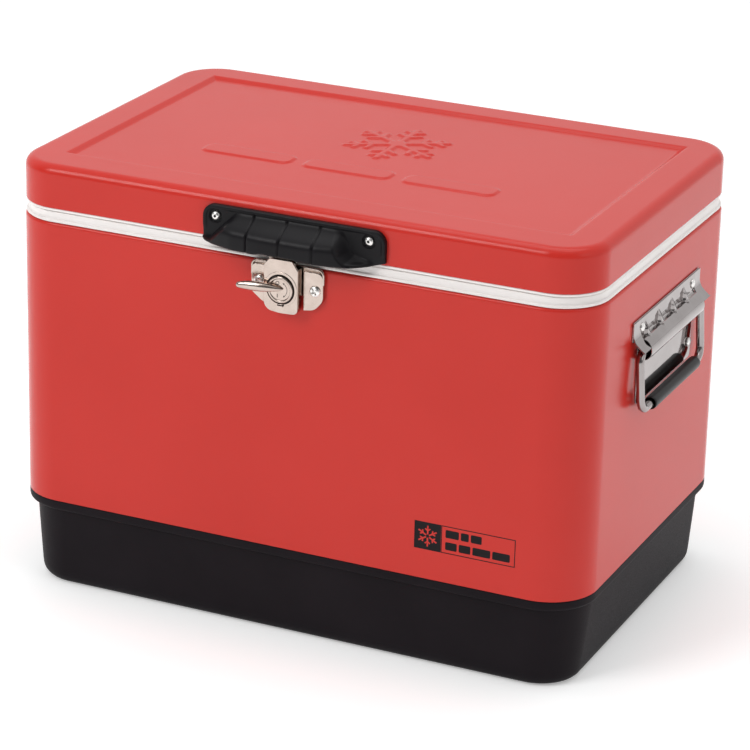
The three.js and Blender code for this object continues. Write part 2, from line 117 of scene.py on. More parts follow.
def bump(nt, bsdf, layers, coat=False):
    prev = None
    for src, strength, dist in layers:
        b = nt.nodes.new("ShaderNodeBump")
        b.inputs["Strength"].default_value = strength
        b.inputs["Distance"].default_value = dist
        nt.links.new(src, b.inputs["Height"])
        if prev:
            nt.links.new(prev.outputs[0], b.inputs["Normal"])
        prev = b
    nt.links.new(prev.outputs[0], bsdf.inputs["Normal"])
    if coat:
        nt.links.new(prev.outputs[0], bsdf.inputs["Coat Normal"])

def grey(v):
    return (v, v, v)

def make_materials():
    M = {}
    # gloss enamel on sheet steel: slight tone drift, orange peel, fine dust in the gloss
    m, nt, b, co = new_mat("red_enamel")
    n1 = noise(nt, co, 5.0, 3)
    c = ramp(nt, n1.outputs[0], [(0.3, (0.570, 0.030, 0.021)), (0.7, (0.605, 0.034, 0.025))])
    nt.links.new(c.outputs[0], b.inputs["Base Color"])
    n2 = noise(nt, co, 60.0, 5, 0.6)
    nt.links.new(mrange(nt, n2.outputs[0], 0.15, 0.24, 0.3, 0.7).outputs[0], b.inputs["Roughness"])
    b.inputs["IOR"].default_value = 1.32
    peel = noise(nt, co, 420.0, 2, 0.4)
    fine = noise(nt, co, 2600.0, 2, 0.5)
    bump(nt, b, [(peel.outputs[0], 0.06, 0.00015), (fine.outputs[0], 0.04, 0.00005)])
    M["red"] = m
    # moulded polypropylene, fine spark-eroded grain
    m, nt, b, co = new_mat("black_moulded")
    n1 = noise(nt, co, 14.0, 4)
    c = ramp(nt, n1.outputs[0], [(0.3, (0.0090, 0.0066, 0.0086)), (0.7, (0.0120, 0.0090, 0.0114))])
    nt.links.new(c.outputs[0], b.inputs["Base Color"])
    n2 = noise(nt, co, 900.0, 4, 0.6)
    nt.links.new(mrange(nt, n2.outputs[0], 0.42, 0.60, 0.3, 0.7).outputs[0], b.inputs["Roughness"])
    b.inputs["Specular IOR Level"].default_value = 0.08
    v = nt.nodes.new("ShaderNodeTexVoronoi"); v.inputs["Scale"].default_value = 1500.0
    nt.links.new(co.outputs["Object"], v.inputs["Vector"])
    soft = noise(nt, co, 35.0, 2)
    bump(nt, b, [(v.outputs["Distance"], 0.22, 0.00012), (n2.outputs[0], 0.18, 0.0001), (soft.outputs[0], 0.06, 0.0006)])
    M["black"] = m
    m, nt, b, co = new_mat("black_handle_plastic")
    n1 = noise(nt, co, 24.0, 4)
    c = ramp(nt, n1.outputs[0], [(0.3, (0.0050, 0.0044, 0.0056)), (0.7, (0.0070, 0.0062, 0.0076))])
    nt.links.new(c.outputs[0], b.inputs["Base Color"])
    n2 = noise(nt, co, 700.0, 4, 0.6)
    nt.links.new(mrange(nt, n2.outputs[0], 0.33, 0.46, 0.3, 0.7).outputs[0], b.inputs["Roughness"])
    b.inputs["Specular IOR Level"].default_value = 0.17
    soft = noise(nt, co, 60.0, 2)
    bump(nt, b, [(n2.outputs[0], 0.10, 0.00008), (soft.outputs[0], 0.05, 0.0004)])
    M["black_gloss"] = m
    m, nt, b, co = new_mat("black_sleeve")
    n1 = noise(nt, co, 40.0, 3)
    c = ramp(nt, n1.outputs[0], [(0.3, (0.010, 0.009, 0.010)), (0.7, (0.015, 0.013, 0.014))])
    nt.links.new(c.outputs[0], b.inputs["Base Color"])
    n2 = noise(nt, co, 500.0, 3)
    nt.links.new(mrange(nt, n2.outputs[0], 0.30, 0.42, 0.3, 0.7).outputs[0], b.inputs["Roughness"])
    b.inputs["Specular IOR Level"].default_value = 0.26
    ln = noise(nt, co, 300.0, 3, 0.5, stretch=(1, 0.04, 1))
    bump(nt, b, [(ln.outputs[0], 0.15, 0.0001)])
    M["sleeve"] = m
    m, nt, b, co = new_mat("white_moulded")
    n1 = noise(nt, co, 9.0, 3)
    c = ramp(nt, n1.outputs[0], [(0.3, (0.85, 0.81, 0.79)), (0.7, (0.90, 0.86, 0.84))])
    nt.links.new(c.outputs[0], b.inputs["Base Color"])
    n2 = noise(nt, co, 300.0, 3)
    nt.links.new(mrange(nt, n2.outputs[0], 0.28, 0.40, 0.3, 0.7).outputs[0], b.inputs["Roughness"])
    b.inputs["Subsurface Weight"].default_value = 0.05
    b.inputs["Subsurface Radius"].default_value = (0.002, 0.002, 0.002)
    bump(nt, b, [(n2.outputs[0], 0.06, 0.0001)])
    M["white"] = m
    # satin nickel plate
    m, nt, b, co = new_mat("satin_nickel")
    n1 = noise(nt, co, 90.0, 5, 0.6)
    c = ramp(nt, n1.outputs[0], [(0.3, (0.50, 0.415, 0.365)), (0.7, (0.58, 0.49, 0.435))])
    nt.links.new(c.outputs[0], b.inputs["Base Color"])
    b.inputs["Metallic"].default_value = 1
    n2 = noise(nt, co, 260.0, 6, 0.65)
    nt.links.new(mrange(nt, n2.outputs[0], 0.13, 0.26, 0.3, 0.7).outputs[0], b.inputs["Roughness"])
    n3 = noise(nt, co, 1400.0, 3, 0.6)
    bump(nt, b, [(n3.outputs[0], 0.12, 0.00006), (n1.outputs[0], 0.08, 0.0002)])
    M["nickel"] = m
    # polished stainless with faint drawing lines
    def steel(name, lo, hi, stretch, bs):
        m, nt, b, co = new_mat(name)
        n1 = noise(nt, co, 30.0, 4, 0.6)
        c = ramp(nt, n1.outputs[0], [(0.3, (0.345, 0.315, 0.31)), (0.7, (0.41, 0.38, 0.375))])
        nt.links.new(c.outputs[0], b.inputs["Base Color"])
        b.inputs["Metallic"].default_value = 1
        n2 = noise(nt, co, 900.0, 4, 0.6, stretch=stretch)
        nt.links.new(mrange(nt, n2.outputs[0], lo, hi, 0.3, 0.7).outputs[0], b.inputs["Roughness"])
        n3 = noise(nt, co, 60.0, 3, 0.5)
        bump(nt, b, [(n2.outputs[0], bs, 0.00004), (n3.outputs[0], 0.05, 0.0004)])
        return m
    M["steel"] = steel("stainless_polished", 0.10, 0.22, (1, 0.05, 1), 0.10)
    M["steel_satin"] = steel("stainless_satin", 0.24, 0.40, (1, 0.05, 1), 0.22)
    M["mirror"] = steel("stainless_mirror", 0.03, 0.07, (1, 0.3, 1), 0.02)
    m, nt, b, co = new_mat("bright_screw")
    n1 = noise(nt, co, 400.0, 4)
    c = ramp(nt, n1.outputs[0], [(0.3, (0.80, 0.78, 0.76)), (0.7, (0.88, 0.86, 0.84))])
    nt.links.new(c.outputs[0], b.inputs["Base Color"])
    b.inputs["Metallic"].default_value = 1
    nt.links.new(mrange(nt, n1.outputs[0], 0.22, 0.34, 0.3, 0.7).outputs[0], b.inputs["Roughness"])
    bump(nt, b, [(n1.outputs[0], 0.05, 0.00004)])
    M["screw"] = m
    m, nt, b, co = new_mat("seal_rubber")
    n1 = noise(nt, co, 80.0, 3)
    c = ramp(nt, n1.outputs[0], [(0.3, (0.30, 0.29, 0.28)), (0.7, (0.36, 0.35, 0.34))])
    nt.links.new(c.outputs[0], b.inputs["Base Color"])
    nt.links.new(mrange(nt, n1.outputs[0], 0.6, 0.8, 0.3, 0.7).outputs[0], b.inputs["Roughness"])
    bump(nt, b, [(n1.outputs[0], 0.1, 0.0002)])
    M["seal"] = m
    m, nt, b, co = new_mat("blown_foam")
    v = nt.nodes.new("ShaderNodeTexVoronoi"); v.inputs["Scale"].default_value = 500.0
    nt.links.new(co.outputs["Object"], v.inputs["Vector"])
    c = ramp(nt, v.outputs["Distance"], [(0.0, (0.62, 0.52, 0.32)), (0.6, (0.80, 0.72, 0.50))])
    nt.links.new(c.outputs[0], b.inputs["Base Color"])
    b.inputs["Roughness"].default_value = 0.9
    bump(nt, b, [(v.outputs["Distance"], 0.5, 0.0008)])
    M["foam"] = m
    # printed black of the label and the engraved marks
    m, nt, b, co = new_mat("black_print")
    n1 = noise(nt, co, 120.0, 3)
    c = ramp(nt, n1.outputs[0], [(0.3, (0.006, 0.005, 0.006)), (0.7, (0.010, 0.008, 0.0095))])
    nt.links.new(c.outputs[0], b.inputs["Base Color"])
    nt.links.new(mrange(nt, n1.outputs[0], 0.34, 0.46, 0.3, 0.7).outputs[0], b.inputs["Roughness"])
    bump(nt, b, [(n1.outputs[0], 0.05, 0.0001)])
    b.inputs["Specular IOR Level"].default_value = 0.15
    M["print"] = m
    return M

MAT = make_materials()

# ------------------------------------------------------------------ mesh tools
def make(name, verts, faces, mat, body, sharp=32, weighted=True, cad=(), slot=None):
    """verts in millimetres."""
    me = bpy.data.meshes.new(name)
    v = np.asarray(verts, float) * MM
    me.from_pydata([tuple(p) for p in v], [], [tuple(f) for f in faces])
    bm = bmesh.new(); bm.from_mesh(me)
    bmesh.ops.remove_doubles(bm, verts=bm.verts, dist=1e-6)
    bmesh.ops.dissolve_degenerate(bm, edges=bm.edges, dist=1e-7)
    bmesh.ops.recalc_face_normals(bm, faces=bm.faces)
    bm.to_mesh(me); bm.free()
    me.validate()
    me.polygons.foreach_set("use_smooth", [True] * len(me.polygons))
    if sharp is not None:
        me.set_sharp_from_angle(angle=math.radians(sharp))
    ob = bpy.data.objects.new(name, me)
    scene.collection.objects.link(ob)
    me.materials.append(mat)
    if weighted:
        w = ob.modifiers.new("normals", "WEIGHTED_NORMAL")
        w.keep_sharp = True
        w.weight = 60
    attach(ob, body)
    if cad:
        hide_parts(*cad)
    return ob

HX, HY = 300.0, 197.1
def rr(hx, hy, r, z, n=14, cx=0.0, cy=0.0):
    out = []
    for sx, sy, a0 in ((1, 1, 0), (-1, 1, 90), (-1, -1, 180), (1, -1, 270)):
        for k in range(n + 1):
            a = math.radians(a0 + 90 * k / n)
            out.append((cx + sx * (hx - r) + r * math.cos(a), cy + sy * (hy - r) + r * math.sin(a), z))
    return out
def ins(i, r, z, n=14, iy=None):
    return rr(HX - i, HY - (i if iy is None else iy), r, z, n)

def loft_data(rings, cap0=True, cap1=True, loop=False, base=0):
    n = len(rings[0]); V = [p for r in rings for p in r]; F = []
    last = len(rings) if loop else len(rings) - 1
    for j in range(last):
        j2 = (j + 1) % len(rings)
        for i in range(n):
            F.append((j * n + i, j * n + (i + 1) % n, j2 * n + (i + 1) % n, j2 * n + i))
    if not loop:
        for on, j, s in ((cap0, 0, -1), (cap1, len(rings) - 1, 1)):
            if on:
                c = np.mean(np.array(rings[j]), 0); ci = len(V); V.append(tuple(c))
                for i in range(n):
                    a, b = j * n + i, j * n + (i + 1) % n
                    F.append((a, b, ci) if s > 0 else (b, a, ci))
    return V, [tuple(q + base for q in f) for f in F]

def join_data(*parts):
    V, F = [], []
    for v, f in parts:
        o = len(V); V += list(v); F += [tuple(q + o for q in g) for g in f]
    return V, F

# ------------------------------------------------------------------ base tub, belt, rim
N = 14
tub = [ins(24, 34, 1.0, N, 21), ins(23.2, 34.5, 0.25, N, 20.2), ins(22, 35, 0, N, 19)]
for k in range(1, 7):      # rolled foot of the wall
    a = math.pi / 2 * k / 6
    tub.append(ins(12.2 + 9.8 * (1 - math.sin(a)), 35 + 7 * math.sin(a), 12.5 * (1 - math.cos(a)), N, 9.2 + 9.8 * (1 - math.sin(a))))
tub += [ins(12.0, 42, 14.5, N, 9.0), ins(8.7, 46.5, 48, N, 7.2), ins(5.7, 50.6, 80, N, 5.6), ins(5.5, 50.9, 81.6, N, 5.5), ins(4.9, 51, 82.3, N, 4.9)]
for k in range(0, 6):      # underside of the rim band
    a = math.pi / 2 * k / 5
    tub.append(ins(3.6 * (1 - math.sin(a)), 50.2, 82.4 + 3.6 * (1 - math.cos(a)), N))
tub += [ins(0, 50, 87, N), ins(0, 50, 91.6, N), ins(0.25, 50, 92.3, N), ins(0.8, 49.6, 92.7, N), ins(3, 47, 92.7, N),
        ins(3.6, 47, 84, N), ins(8.5, 48, 80, N), ins(15, 39, 14, N, 12), ins(20, 36, 4, N, 17)]
# underside: the outer 2 mm stand on the floor, the middle is set up a little
make("base_tub_moulding", *loft_data([rr(200, 110, 20, 1.0, N)] + tub + [rr(200, 110, 20, 4.0, N)]), MAT["black"], "chest", cad=("base_tub",), slot="black_plastic")

belt = [ins(0.0, 50, 93.0, N), ins(0, 50, 94, N), ins(0, 50, 374, N), ins(0, 50, 376.8, N)]
for k in range(1, 7):
    a = math.pi / 2 * k / 6
    belt.append(ins(2.2 * (1 - math.cos(a)), 50 - 2.2 * (1 - math.cos(a)), 376.9 + 3.0 * math.sin(a), N))
belt += [ins(3.0, 47.1, 380.0, N), ins(3.0, 47.1, 379.0, N), ins(1.2, 48.8, 376, N), ins(0.9, 49.1, 370, N), ins(0.9, 49.1, 93.0, N)]
make("steel_belt", *loft_data(belt, loop=True), MAT["red"], "chest", cad=("body_shell",), slot="red_paint")

def cavr(e, t, z):      # inner cavity ring, t = 0 at the floor, 1 at the rim
    x, y, r = 254 + 6 * t, 151 + 6.1 * t, 28 + 4 * t
    return rr(x + e, y + e, r + e, z, N)
rim = [cavr(-1, 0, 45.0), cavr(3, 0, 52), cavr(3, 1, 380.4), ins(4.0, 46, 380.4, N), ins(1.7, 48.4, 380.4, N)]
for k in range(0, 5):
    a = -math.pi / 2 + math.pi * k / 4
    rim.append(ins(1.9 - 1.1 * math.cos(a), 48.6, 382.0 + 1.5 * math.sin(a), N))
rim += [ins(2.7, 47.4, 383.8, N), ins(3.0, 47, 384.3, N), ins(3.0, 47, 389.2, N), ins(3.25, 46.8, 390.1, N), ins(4.0, 46.2, 390.55, N), ins(5, 45.4, 390.6, N),
        cavr(2.5, 1, 390.6), cavr(0.7, 1, 390.0), cavr(0, 0.99, 388.4)]
for k in range(0, 9):
    z = 380 - (380 - 70) * k / 8
    rim.append(cavr(0, (z - 48) / 343, z))
for k in range(1, 8):      # floor fillet
    a = math.pi / 2 * k / 7
    rim.append(cavr(-18 * (1 - math.cos(a)), 0.02, 66 - 18 * math.sin(a)))
make("liner_moulding", *loft_data(rim + [rr(150, 70, 15, 48.0, N)]), MAT["white"], "chest", cad=("inner_liner",), slot="white_plastic")

# ------------------------------------------------------------------ lid
LI, E = 1.5, 9.5
RX, RY0, RY1, RD, RUN = 260.5, -150.5, 158.0, 3.0, 6.0

def seg_dist(x, y, ax, ay, bx, by):
    px, py, dx, dy = x - ax, y - ay, bx - ax, by - ay
    t = np.clip((px * dx + py * dy) / (dx * dx + dy * dy), 0, 1)
    return np.hypot(px - t * dx, py - t * dy)

def smooth(t):
    t = np.clip(t, 0, 1)
    return t * t * (3 - 2 * t)

def emboss(x, y):
    """Height of the pressed motif: a plain six-armed snow crystal with a long bar in front of it."""
    cx, cy = 4.0, 36.0
    d = np.full(x.shape, 1e9)
    for k in range(6):
        a = math.radians(30 + 60 * k)
        ux, uy = math.cos(a), math.sin(a)
        R = 50.0
        d = np.minimum(d, seg_dist(x, y, cx + 9 * ux, cy + 9 * uy, cx + R * ux, cy + R * uy) - 3.4)
        for s in (-1, 1):
            b = a + s * math.radians(55)
            for q, L in ((24.0, 13.0), (38.0, 10.0)):
                d = np.minimum(d, seg_dist(x, y, cx + q * ux, cy + q * uy, cx + q * ux + L * math.cos(b), cy + q * uy + L * math.sin(b)) - 2.8)
    hexa = np.full(x.shape, -1e9)
    for k in range(6):
        a = math.radians(60 * k)
        hexa = np.maximum(hexa, (x - cx) * math.cos(a) + (y - cy) * math.sin(a) - 10.0)
    d = np.minimum(d, hexa)
    # bar with rounded ends, broken by two plain gaps
    for x0, x1 in ((-156, -62), (-48, 42), (56, 150)):
        qx = np.abs(x - (x0 + x1) / 2) - ((x1 - x0) / 2 - 9)
        qy = np.abs(y + 61) - (13 - 9)
        d = np.minimum(d, np.hypot(np.maximum(qx, 0), np.maximum(qy, 0)) + np.minimum(np.maximum(qx, qy), 0) - 9)
    return 1.35 * smooth(0.5 - d / 3.0)

def lid_height(x, y):
    e = np.minimum(np.minimum(RX - np.abs(x), y - RY0), RY1 - y)
    # sloped wall with softened brow and root
    t = np.clip(e / RUN, -0.35, 1.35)
    w = 0.18
    s = np.where(t < -w, 0, np.where(t < w, (t + w) ** 2 / (4 * w), np.where(t < 1 - w, t, np.where(t < 1 + w, 1 - (1 + w - t) ** 2 / (4 * w), 1))))
    z = 436.2 - RD * s
    return z + emboss(x, y)

def lines(lo, hi, marks, fine, coarse, step):
    out = set([lo, hi])
    x = lo
    for m in marks:
        out.update(m + q for q in (-1.4, -0.7, 0, 0.7, 1.4, 2.2, 3, 3.8, 4.6, 5.3, 6, 6.7, 7.4))
    for a, b in fine:
        out.update(np.linspace(a, b, int(round((b - a) / step)) + 1))
    a = lo
    while a < hi:
        if not any(f0 < a < f1 for f0, f1 in fine):
            out.add(a)
        a += coarse
    v = sorted(q for q in out if lo <= q <= hi)
    keep = [v[0]]
    for q in v[1:]:
        if q - keep[-1] > 0.28:
            keep.append(q)
    keep[-1] = hi
    return np.array(keep)

def lid_top_grid():
    X0, X1, Y0, Y1 = -RX - 2.2, RX + 2.2, RY0 - 2.2, RY1 + 2.2
    mirror = lambda m: [-(m + q) for q in (-1.4, -0.7, 0, 0.7, 1.4, 2.2, 3, 3.8, 4.6, 5.3, 6, 6.7, 7.4)]
    left = [-RX + q for q in (-1.4, -0.7, 0, 0.7, 1.4, 2.2, 3, 3.8, 4.6, 5.3, 6, 6.7, 7.4)]
    xs = set(left) | set(-q for q in left) | {X0, X1}
    bot = [RY0 + q for q in (-1.4, -0.7, 0, 0.7, 1.4, 2.2, 3, 3.8, 4.6, 5.3, 6, 6.7, 7.4)]
    top = [RY1 - q for q in (-1.4, -0.7, 0, 0.7, 1.4, 2.2, 3, 3.8, 4.6, 5.3, 6, 6.7, 7.4)]
    ys = set(bot) | set(top) | {Y0, Y1}
    xs |= set(np.linspace(-162, 156, 266)) | set(np.linspace(-250, -166, 12)) | set(np.linspace(160, 250, 12))
    ys |= set(np.linspace(-78, 94, 144)) | set(np.linspace(-140, -82, 9)) | set(np.linspace(98, 148, 8))
    def tidy(s):
        v = sorted(s); k = [v[0]]
        for q in v[1:]:
            if q - k[-1] > 0.3:
                k.append(q)
        return np.array(k)
    return tidy(xs), tidy(ys)

def build_lid_shell():
    rings = [ins(LI + 0.9, 45, 394.6, N), ins(LI + 0.75, 45.2, 394.35, N), ins(LI + 0.3, 45.7, 394.3, N), ins(LI, 46, 394.7, N), ins(LI, 46, 396, N), ins(LI, 46, 424.5, N)]
    for k in range(0, 11):
        a = math.pi / 2 * k / 10
        rings.append(ins(LI + E * (1 - math.cos(a)), 46 - E * (1 - math.cos(a)), 426.7 + E * math.sin(a), N))
    rings.append(ins(LI + E + 1.0, 46 - E - 1.0, 436.2, N))
    # underside skin for the inside of the hem
    inner = [ins(LI + 0.9, 45, 420, N), ins(LI + 0.9, 45, 394.6, N)]
    V, F = loft_data(inner[:1] + rings, cap0=False, cap1=False)
    n = len(rings[0]); o = len(V) - n
    xs, ys = lid_top_grid()
    gx, gy = np.meshgrid(xs, ys)
    gz = lid_height(gx, gy)
    b = len(V)
    V += [tuple(p) for p in np.stack([gx, gy, gz], -1).reshape(-1, 3)]
    nx, ny = len(xs), len(ys)
    for j in range(ny - 1):
        for i in range(nx - 1):
            F.append((b + j * nx + i, b + j * nx + i + 1, b + (j + 1) * nx + i + 1, b + (j + 1) * nx + i))
    # flat margin between the rounded ring and the grid's rectangle
    outer = list(range(o, o + n))
    inner_loop = [b + i for i in range(nx)] + [b + j * nx + nx - 1 for j in range(1, ny)] + [b + (ny - 1) * nx + i for i in range(nx - 2, -1, -1)] + [b + j * nx for j in range(ny - 2, 0, -1)]
    P = [[Vector((V[q][0], V[q][1], 0)) for q in outer], [Vector((V[q][0], V[q][1], 0)) for q in inner_loop[::-1]]]
    idx = outer + inner_loop[::-1]
    for t in tessellate_polygon(P):
        a, c, d = (idx[q] for q in t)
        pa, pc, pd = (np.array(V[q][:2]) for q in (a, c, d))
        if abs(np.cross(pc - pa, pd - pa)) > 1e-9:
            F.append((a, c, d))
    return V, F

ob = make("lid_pressing", *build_lid_shell(), MAT["red"], "lid", sharp=50, cad=("lid_shell",), slot="red_paint")

lid_l = [rr(249, 146, 23.5, 378.4, N), rr(250.5, 147.6, 24, 377.75, N), rr(252.5, 149.6, 25, 378.6, N), rr(255, 152.1, 27, 381.5, N), rr(256.4, 153.5, 28.4, 390, N), rr(257.5, 154.6, 29, 391.3, N),
         ins(24, 26, 391.3, N), ins(22, 28, 391.3, N), ins(22, 28, 394.6, N), ins(14, 36, 394.6, N), ins(14, 36, 391.3, N), ins(4.2, 44.6, 391.3, N), ins(2.6, 45.2, 391.45, N), ins(1.95, 45.7, 392.0, N), ins(1.85, 45.7, 392.8, N),
         ins(1.9, 45.7, 393.6, N), ins(2.3, 45.5, 394.0, N), ins(3.6, 44, 394.0, N), ins(3.6, 44, 396.5, N), rr(240, 137, 20, 396.5, N)]
make("lid_liner_moulding", *loft_data([rr(150, 70, 12, 379.6, N), rr(242, 139, 21, 379.6, N), rr(246.5, 143.5, 22.5, 379.3, N)] + lid_l), MAT["white"], "lid", cad=("lid_liner",), slot="white_plastic")
g = []
for k in range(16):
    a = 2 * math.pi * k / 16
    g.append(ins(18 - 3.4 * math.cos(a), 32 + 3.4 * math.cos(a), 392.55 + 1.6 * math.sin(a), N))
make("lid_seal", *loft_data(g, loop=True), MAT["seal"], "lid", sharp=60, cad=("lid_gasket",), slot="gasket_rubber")

# ------------------------------------------------------------------ outline tools
def round_poly(pts, radii, seg=6):
    """Polygon with rounded corners; radii is one number or one per corner."""
    n = len(pts); out = []
    if not hasattr(radii, "__len__"):
        radii = [radii] * n
    for i in range(n):
        p, a, b = np.array(pts[i], float), np.array(pts[i - 1], float), np.array(pts[(i + 1) % n], float)
        u, v = (a - p) / np.linalg.norm(a - p), (b - p) / np.linalg.norm(b - p)
        r = radii[i]
        ang = math.acos(np.clip(u @ v, -1, 1))
        if r <= 0 or ang > math.pi - 1e-3:
            out.append(tuple(p)); continue
        t = min(r / math.tan(ang / 2), 0.49 * np.linalg.norm(a - p), 0.49 * np.linalg.norm(b - p))
        r = t * math.tan(ang / 2)
        c = p + (u + v) / np.linalg.norm(u + v) * (r / math.sin(ang / 2))
        s, e = p + u * t - c, p + v * t - c
        a0, a1 = math.atan2(s[1], s[0]), math.atan2(e[1], e[0])
        d = (a1 - a0 + math.pi) % (2 * math.pi) - math.pi
        for k in range(seg + 1):
            q = a0 + d * k / seg
            out.append((c[0] + r * math.cos(q), c[1] + r * math.sin(q)))
    return out

def ccw(pts):
    a = sum(p[0] * q[1] - q[0] * p[1] for p, q in zip(pts, pts[1:] + pts[:1]))
    return pts if a > 0 else pts[::-1]

def offset(pts, d):
    """Counter-clockwise outline moved inward by d (outward if negative)."""
    P = np.array(pts, float)
    e0 = P - np.roll(P, 1, 0); e1 = np.roll(P, -1, 0) - P
    n0 = np.stack([-e0[:, 1], e0[:, 0]], 1) / np.maximum(np.linalg.norm(e0, axis=1), 1e-9)[:, None]
    n1 = np.stack([-e1[:, 1], e1[:, 0]], 1) / np.maximum(np.linalg.norm(e1, axis=1), 1e-9)[:, None]
    m = n0 + n1
    m /= np.maximum((m * m).sum(1), 0.3)[:, None] / 2
    return [tuple(q) for q in P + m * d]

def circle(cx, cz, r, n=48):
    return [(cx + r * math.cos(2 * math.pi * k / n), cz + r * math.sin(2 * math.pi * k / n)) for k in range(n)]

def slab_data(outline, lo, hi, place, r=0.3, holes=(), seg=3, r_hole=None):
    """Plate between heights lo and hi with its upper edges rounded by r. place(u, v, w) gives the point."""
    r_hole = r if r_hole is None else r_hole
    loops = [(ccw(list(outline)), 1)] + [(ccw(list(h)), -1) for h in holes]
    V, F = [], []
    tops, bots = [], []
    for pts, sgn in loops:
        rad = r if sgn > 0 else r_hole
        rings = [(lo, 0.25 * rad), (lo + 0.25 * rad, 0.0)]
        for k in range(seg + 1):
            a = math.pi / 2 * k / seg
            rings.append((hi - rad + rad * math.sin(a), rad * (1 - math.cos(a))))
        n = len(pts); b0 = len(V)
        for w, d in rings:
            V += [place(u, v, w) for u, v in offset(pts, d * sgn)]
        for j in range(len(rings) - 1):
            for i in range(n):
                F.append((b0 + j * n + i, b0 + j * n + (i + 1) % n, b0 + (j + 1) * n + (i + 1) % n, b0 + (j + 1) * n + i))
        bots.append(([b0 + i for i in range(n)], offset(pts, rings[0][1] * sgn)))
        tops.append(([b0 + (len(rings) - 1) * n + i for i in range(n)], offset(pts, rings[-1][1] * sgn)))
    for group in (bots, tops):
        if len(group) == 1:
            F.append(tuple(group[0][0]))
            continue
        polys, idx = [], []
        for k, (ids, pts) in enumerate(group):
            if k:
                ids, pts = ids[::-1], pts[::-1]
            polys.append([Vector((p[0], p[1], 0)) for p in pts]); idx += ids
        for t in tessellate_polygon(polys):
            F.append(tuple(idx[q] for q in t))
    return V, F

front = lambda u, v, w: (u, -w, v)          # outline in (x, z), standing out towards -Y
rear = lambda u, v, w: (u, w, v)
right_side = lambda u, v, w: (w, u, v)      # outline in (y, z), standing out towards +X
left_side = lambda u, v, w: (-w, u, v)

def turned(profile, place, n=48, cu=0.0, cv=0.0):
    """Turned piece: profile of (radius, height) from axis to axis."""
    V, F = [], []
    rows = []
    for r, w in profile:
        if r < 1e-6:
            rows.append([len(V)]); V.append(place(cu, cv, w))
        else:
            rows.append(list(range(len(V), len(V) + n)))
            V += [place(cu + r * math.cos(2 * math.pi * k / n), cv + r * math.sin(2 * math.pi * k / n), w) for k in range(n)]
    for a, b in zip(rows, rows[1:]):
        for k in range(n):
            k2 = (k + 1) % n
            if len(a) == 1 and len(b) == 1:
                continue
            if len(a) == 1:
                F.append((a[0], b[k2], b[k]))
            elif len(b) == 1:
                F.append((a[k], a[k2], b[0]))
            else:
                F.append((a[k], a[k2], b[k2], b[k]))
    return V, F

def screw_data(place, cu, cv, seat, R, H, kind, turn=0.0, n=48, deep=None):
    """Head with a driver recess: cross, hex or plain dome."""
    V, F = [], []
    rings = []
    def circ(r, w):
        rings.append([place(cu + r * math.cos(2 * math.pi * k / n), cv + r * math.sin(2 * math.pi * k / n), seat + w) for k in range(n)])
    circ(R * 0.96, -0.2); circ(R * 0.985, 0.0); circ(R, 0.18 * H); circ(R * 0.985, 0.32 * H)
    top = 0.0
    rs = {"cross": 0.60 * R, "hex": 0.36 * R, "dome": 0.0}[kind]
    for k in range(1, 8):
        a = math.radians(12 + 78 * k / 7)
        r = max(R * math.cos(a) / math.cos(math.radians(12)), 0)
        w = 0.32 * H + 0.68 * H * (math.sin(a) - math.sin(math.radians(12))) / (1 - math.sin(math.radians(12)))
        if r < rs * 1.12:
            break
        circ(r, w); top = w
    if kind == "dome":
        top = H
    else:
        top = min(H, top + 0.04 * H)
        circ(rs * 1.1, top)
    def sock(s, w):
        row = []
        for k in range(n):
            th = 2 * math.pi * k / n
            c, q = abs(math.cos(th)) + 1e-9, abs(math.sin(th)) + 1e-9
            if kind == "cross":
                L, a = rs * s, 0.17 * R * s
                r = max(min(L / c, a / q), min(L / q, a / c))
            else:
                ph = (th % (math.pi / 3)) - math.pi / 6
                r = rs * 0.82 * s / math.cos(ph)
            row.append(place(cu + r * math.cos(th + turn), cv + r * math.sin(th + turn), seat + w))
        rings.append(row)
    if kind != "dome":
        d = deep or (0.95 * H if kind == 'hex' else 0.66 * H)
        sock(1.0, top); sock(0.96, top - 0.12 * H); sock(0.8 if kind == "cross" else 0.95, top - d)
        cen = top - d
    else:
        cen = H
    for row in rings:
        V += row
    for j in range(len(rings) - 1):
        for i in range(n):
            F.append((j * n + i, j * n + (i + 1) % n, (j + 1) * n + (i + 1) % n, (j + 1) * n + i))
    c1 = len(V); V.append(place(cu, cv, seat + cen)); c0 = len(V); V.append(place(cu, cv, seat - 0.2))
    for i in range(n):
        F.append(((len(rings) - 1) * n + i, (len(rings) - 1) * n + (i + 1) % n, c1))
        F.append(((i + 1) % n, i, c0))
    return V, F

def sweep_data(path, radius, n=20, caps=True, hint=(1, 0, 0)):
    """Round rod along a path; radius is a number or one pair (across, out) per point."""
    P = np.array(path, float); V, F = [], []
    T = np.gradient(P, axis=0); T /= np.linalg.norm(T, axis=1)[:, None]
    h = np.array(hint, float)
    for k in range(len(P)):
        u = h - (h @ T[k]) * T[k]; u /= np.linalg.norm(u); h = u
        w = np.cross(T[k], u)
        ra, rb = (radius, radius) if not hasattr(radius, "__len__") else radius[k]
        for i in range(n):
            a = 2 * math.pi * i / n
            V.append(tuple(P[k] + ra * math.cos(a) * w + rb * math.sin(a) * u))
    for k in range(len(P) - 1):
        for i in range(n):
            F.append((k * n + i, k * n + (i + 1) % n, (k + 1) * n + (i + 1) % n, (k + 1) * n + i))
    if caps:
        for k, s in ((0, -1), (len(P) - 1, 1)):
            c = len(V); V.append(tuple(P[k]))
            for i in range(n):
                a, b = k * n + i, k * n + (i + 1) % n
                F.append((a, b, c) if s > 0 else (b, a, c))
    return V, F

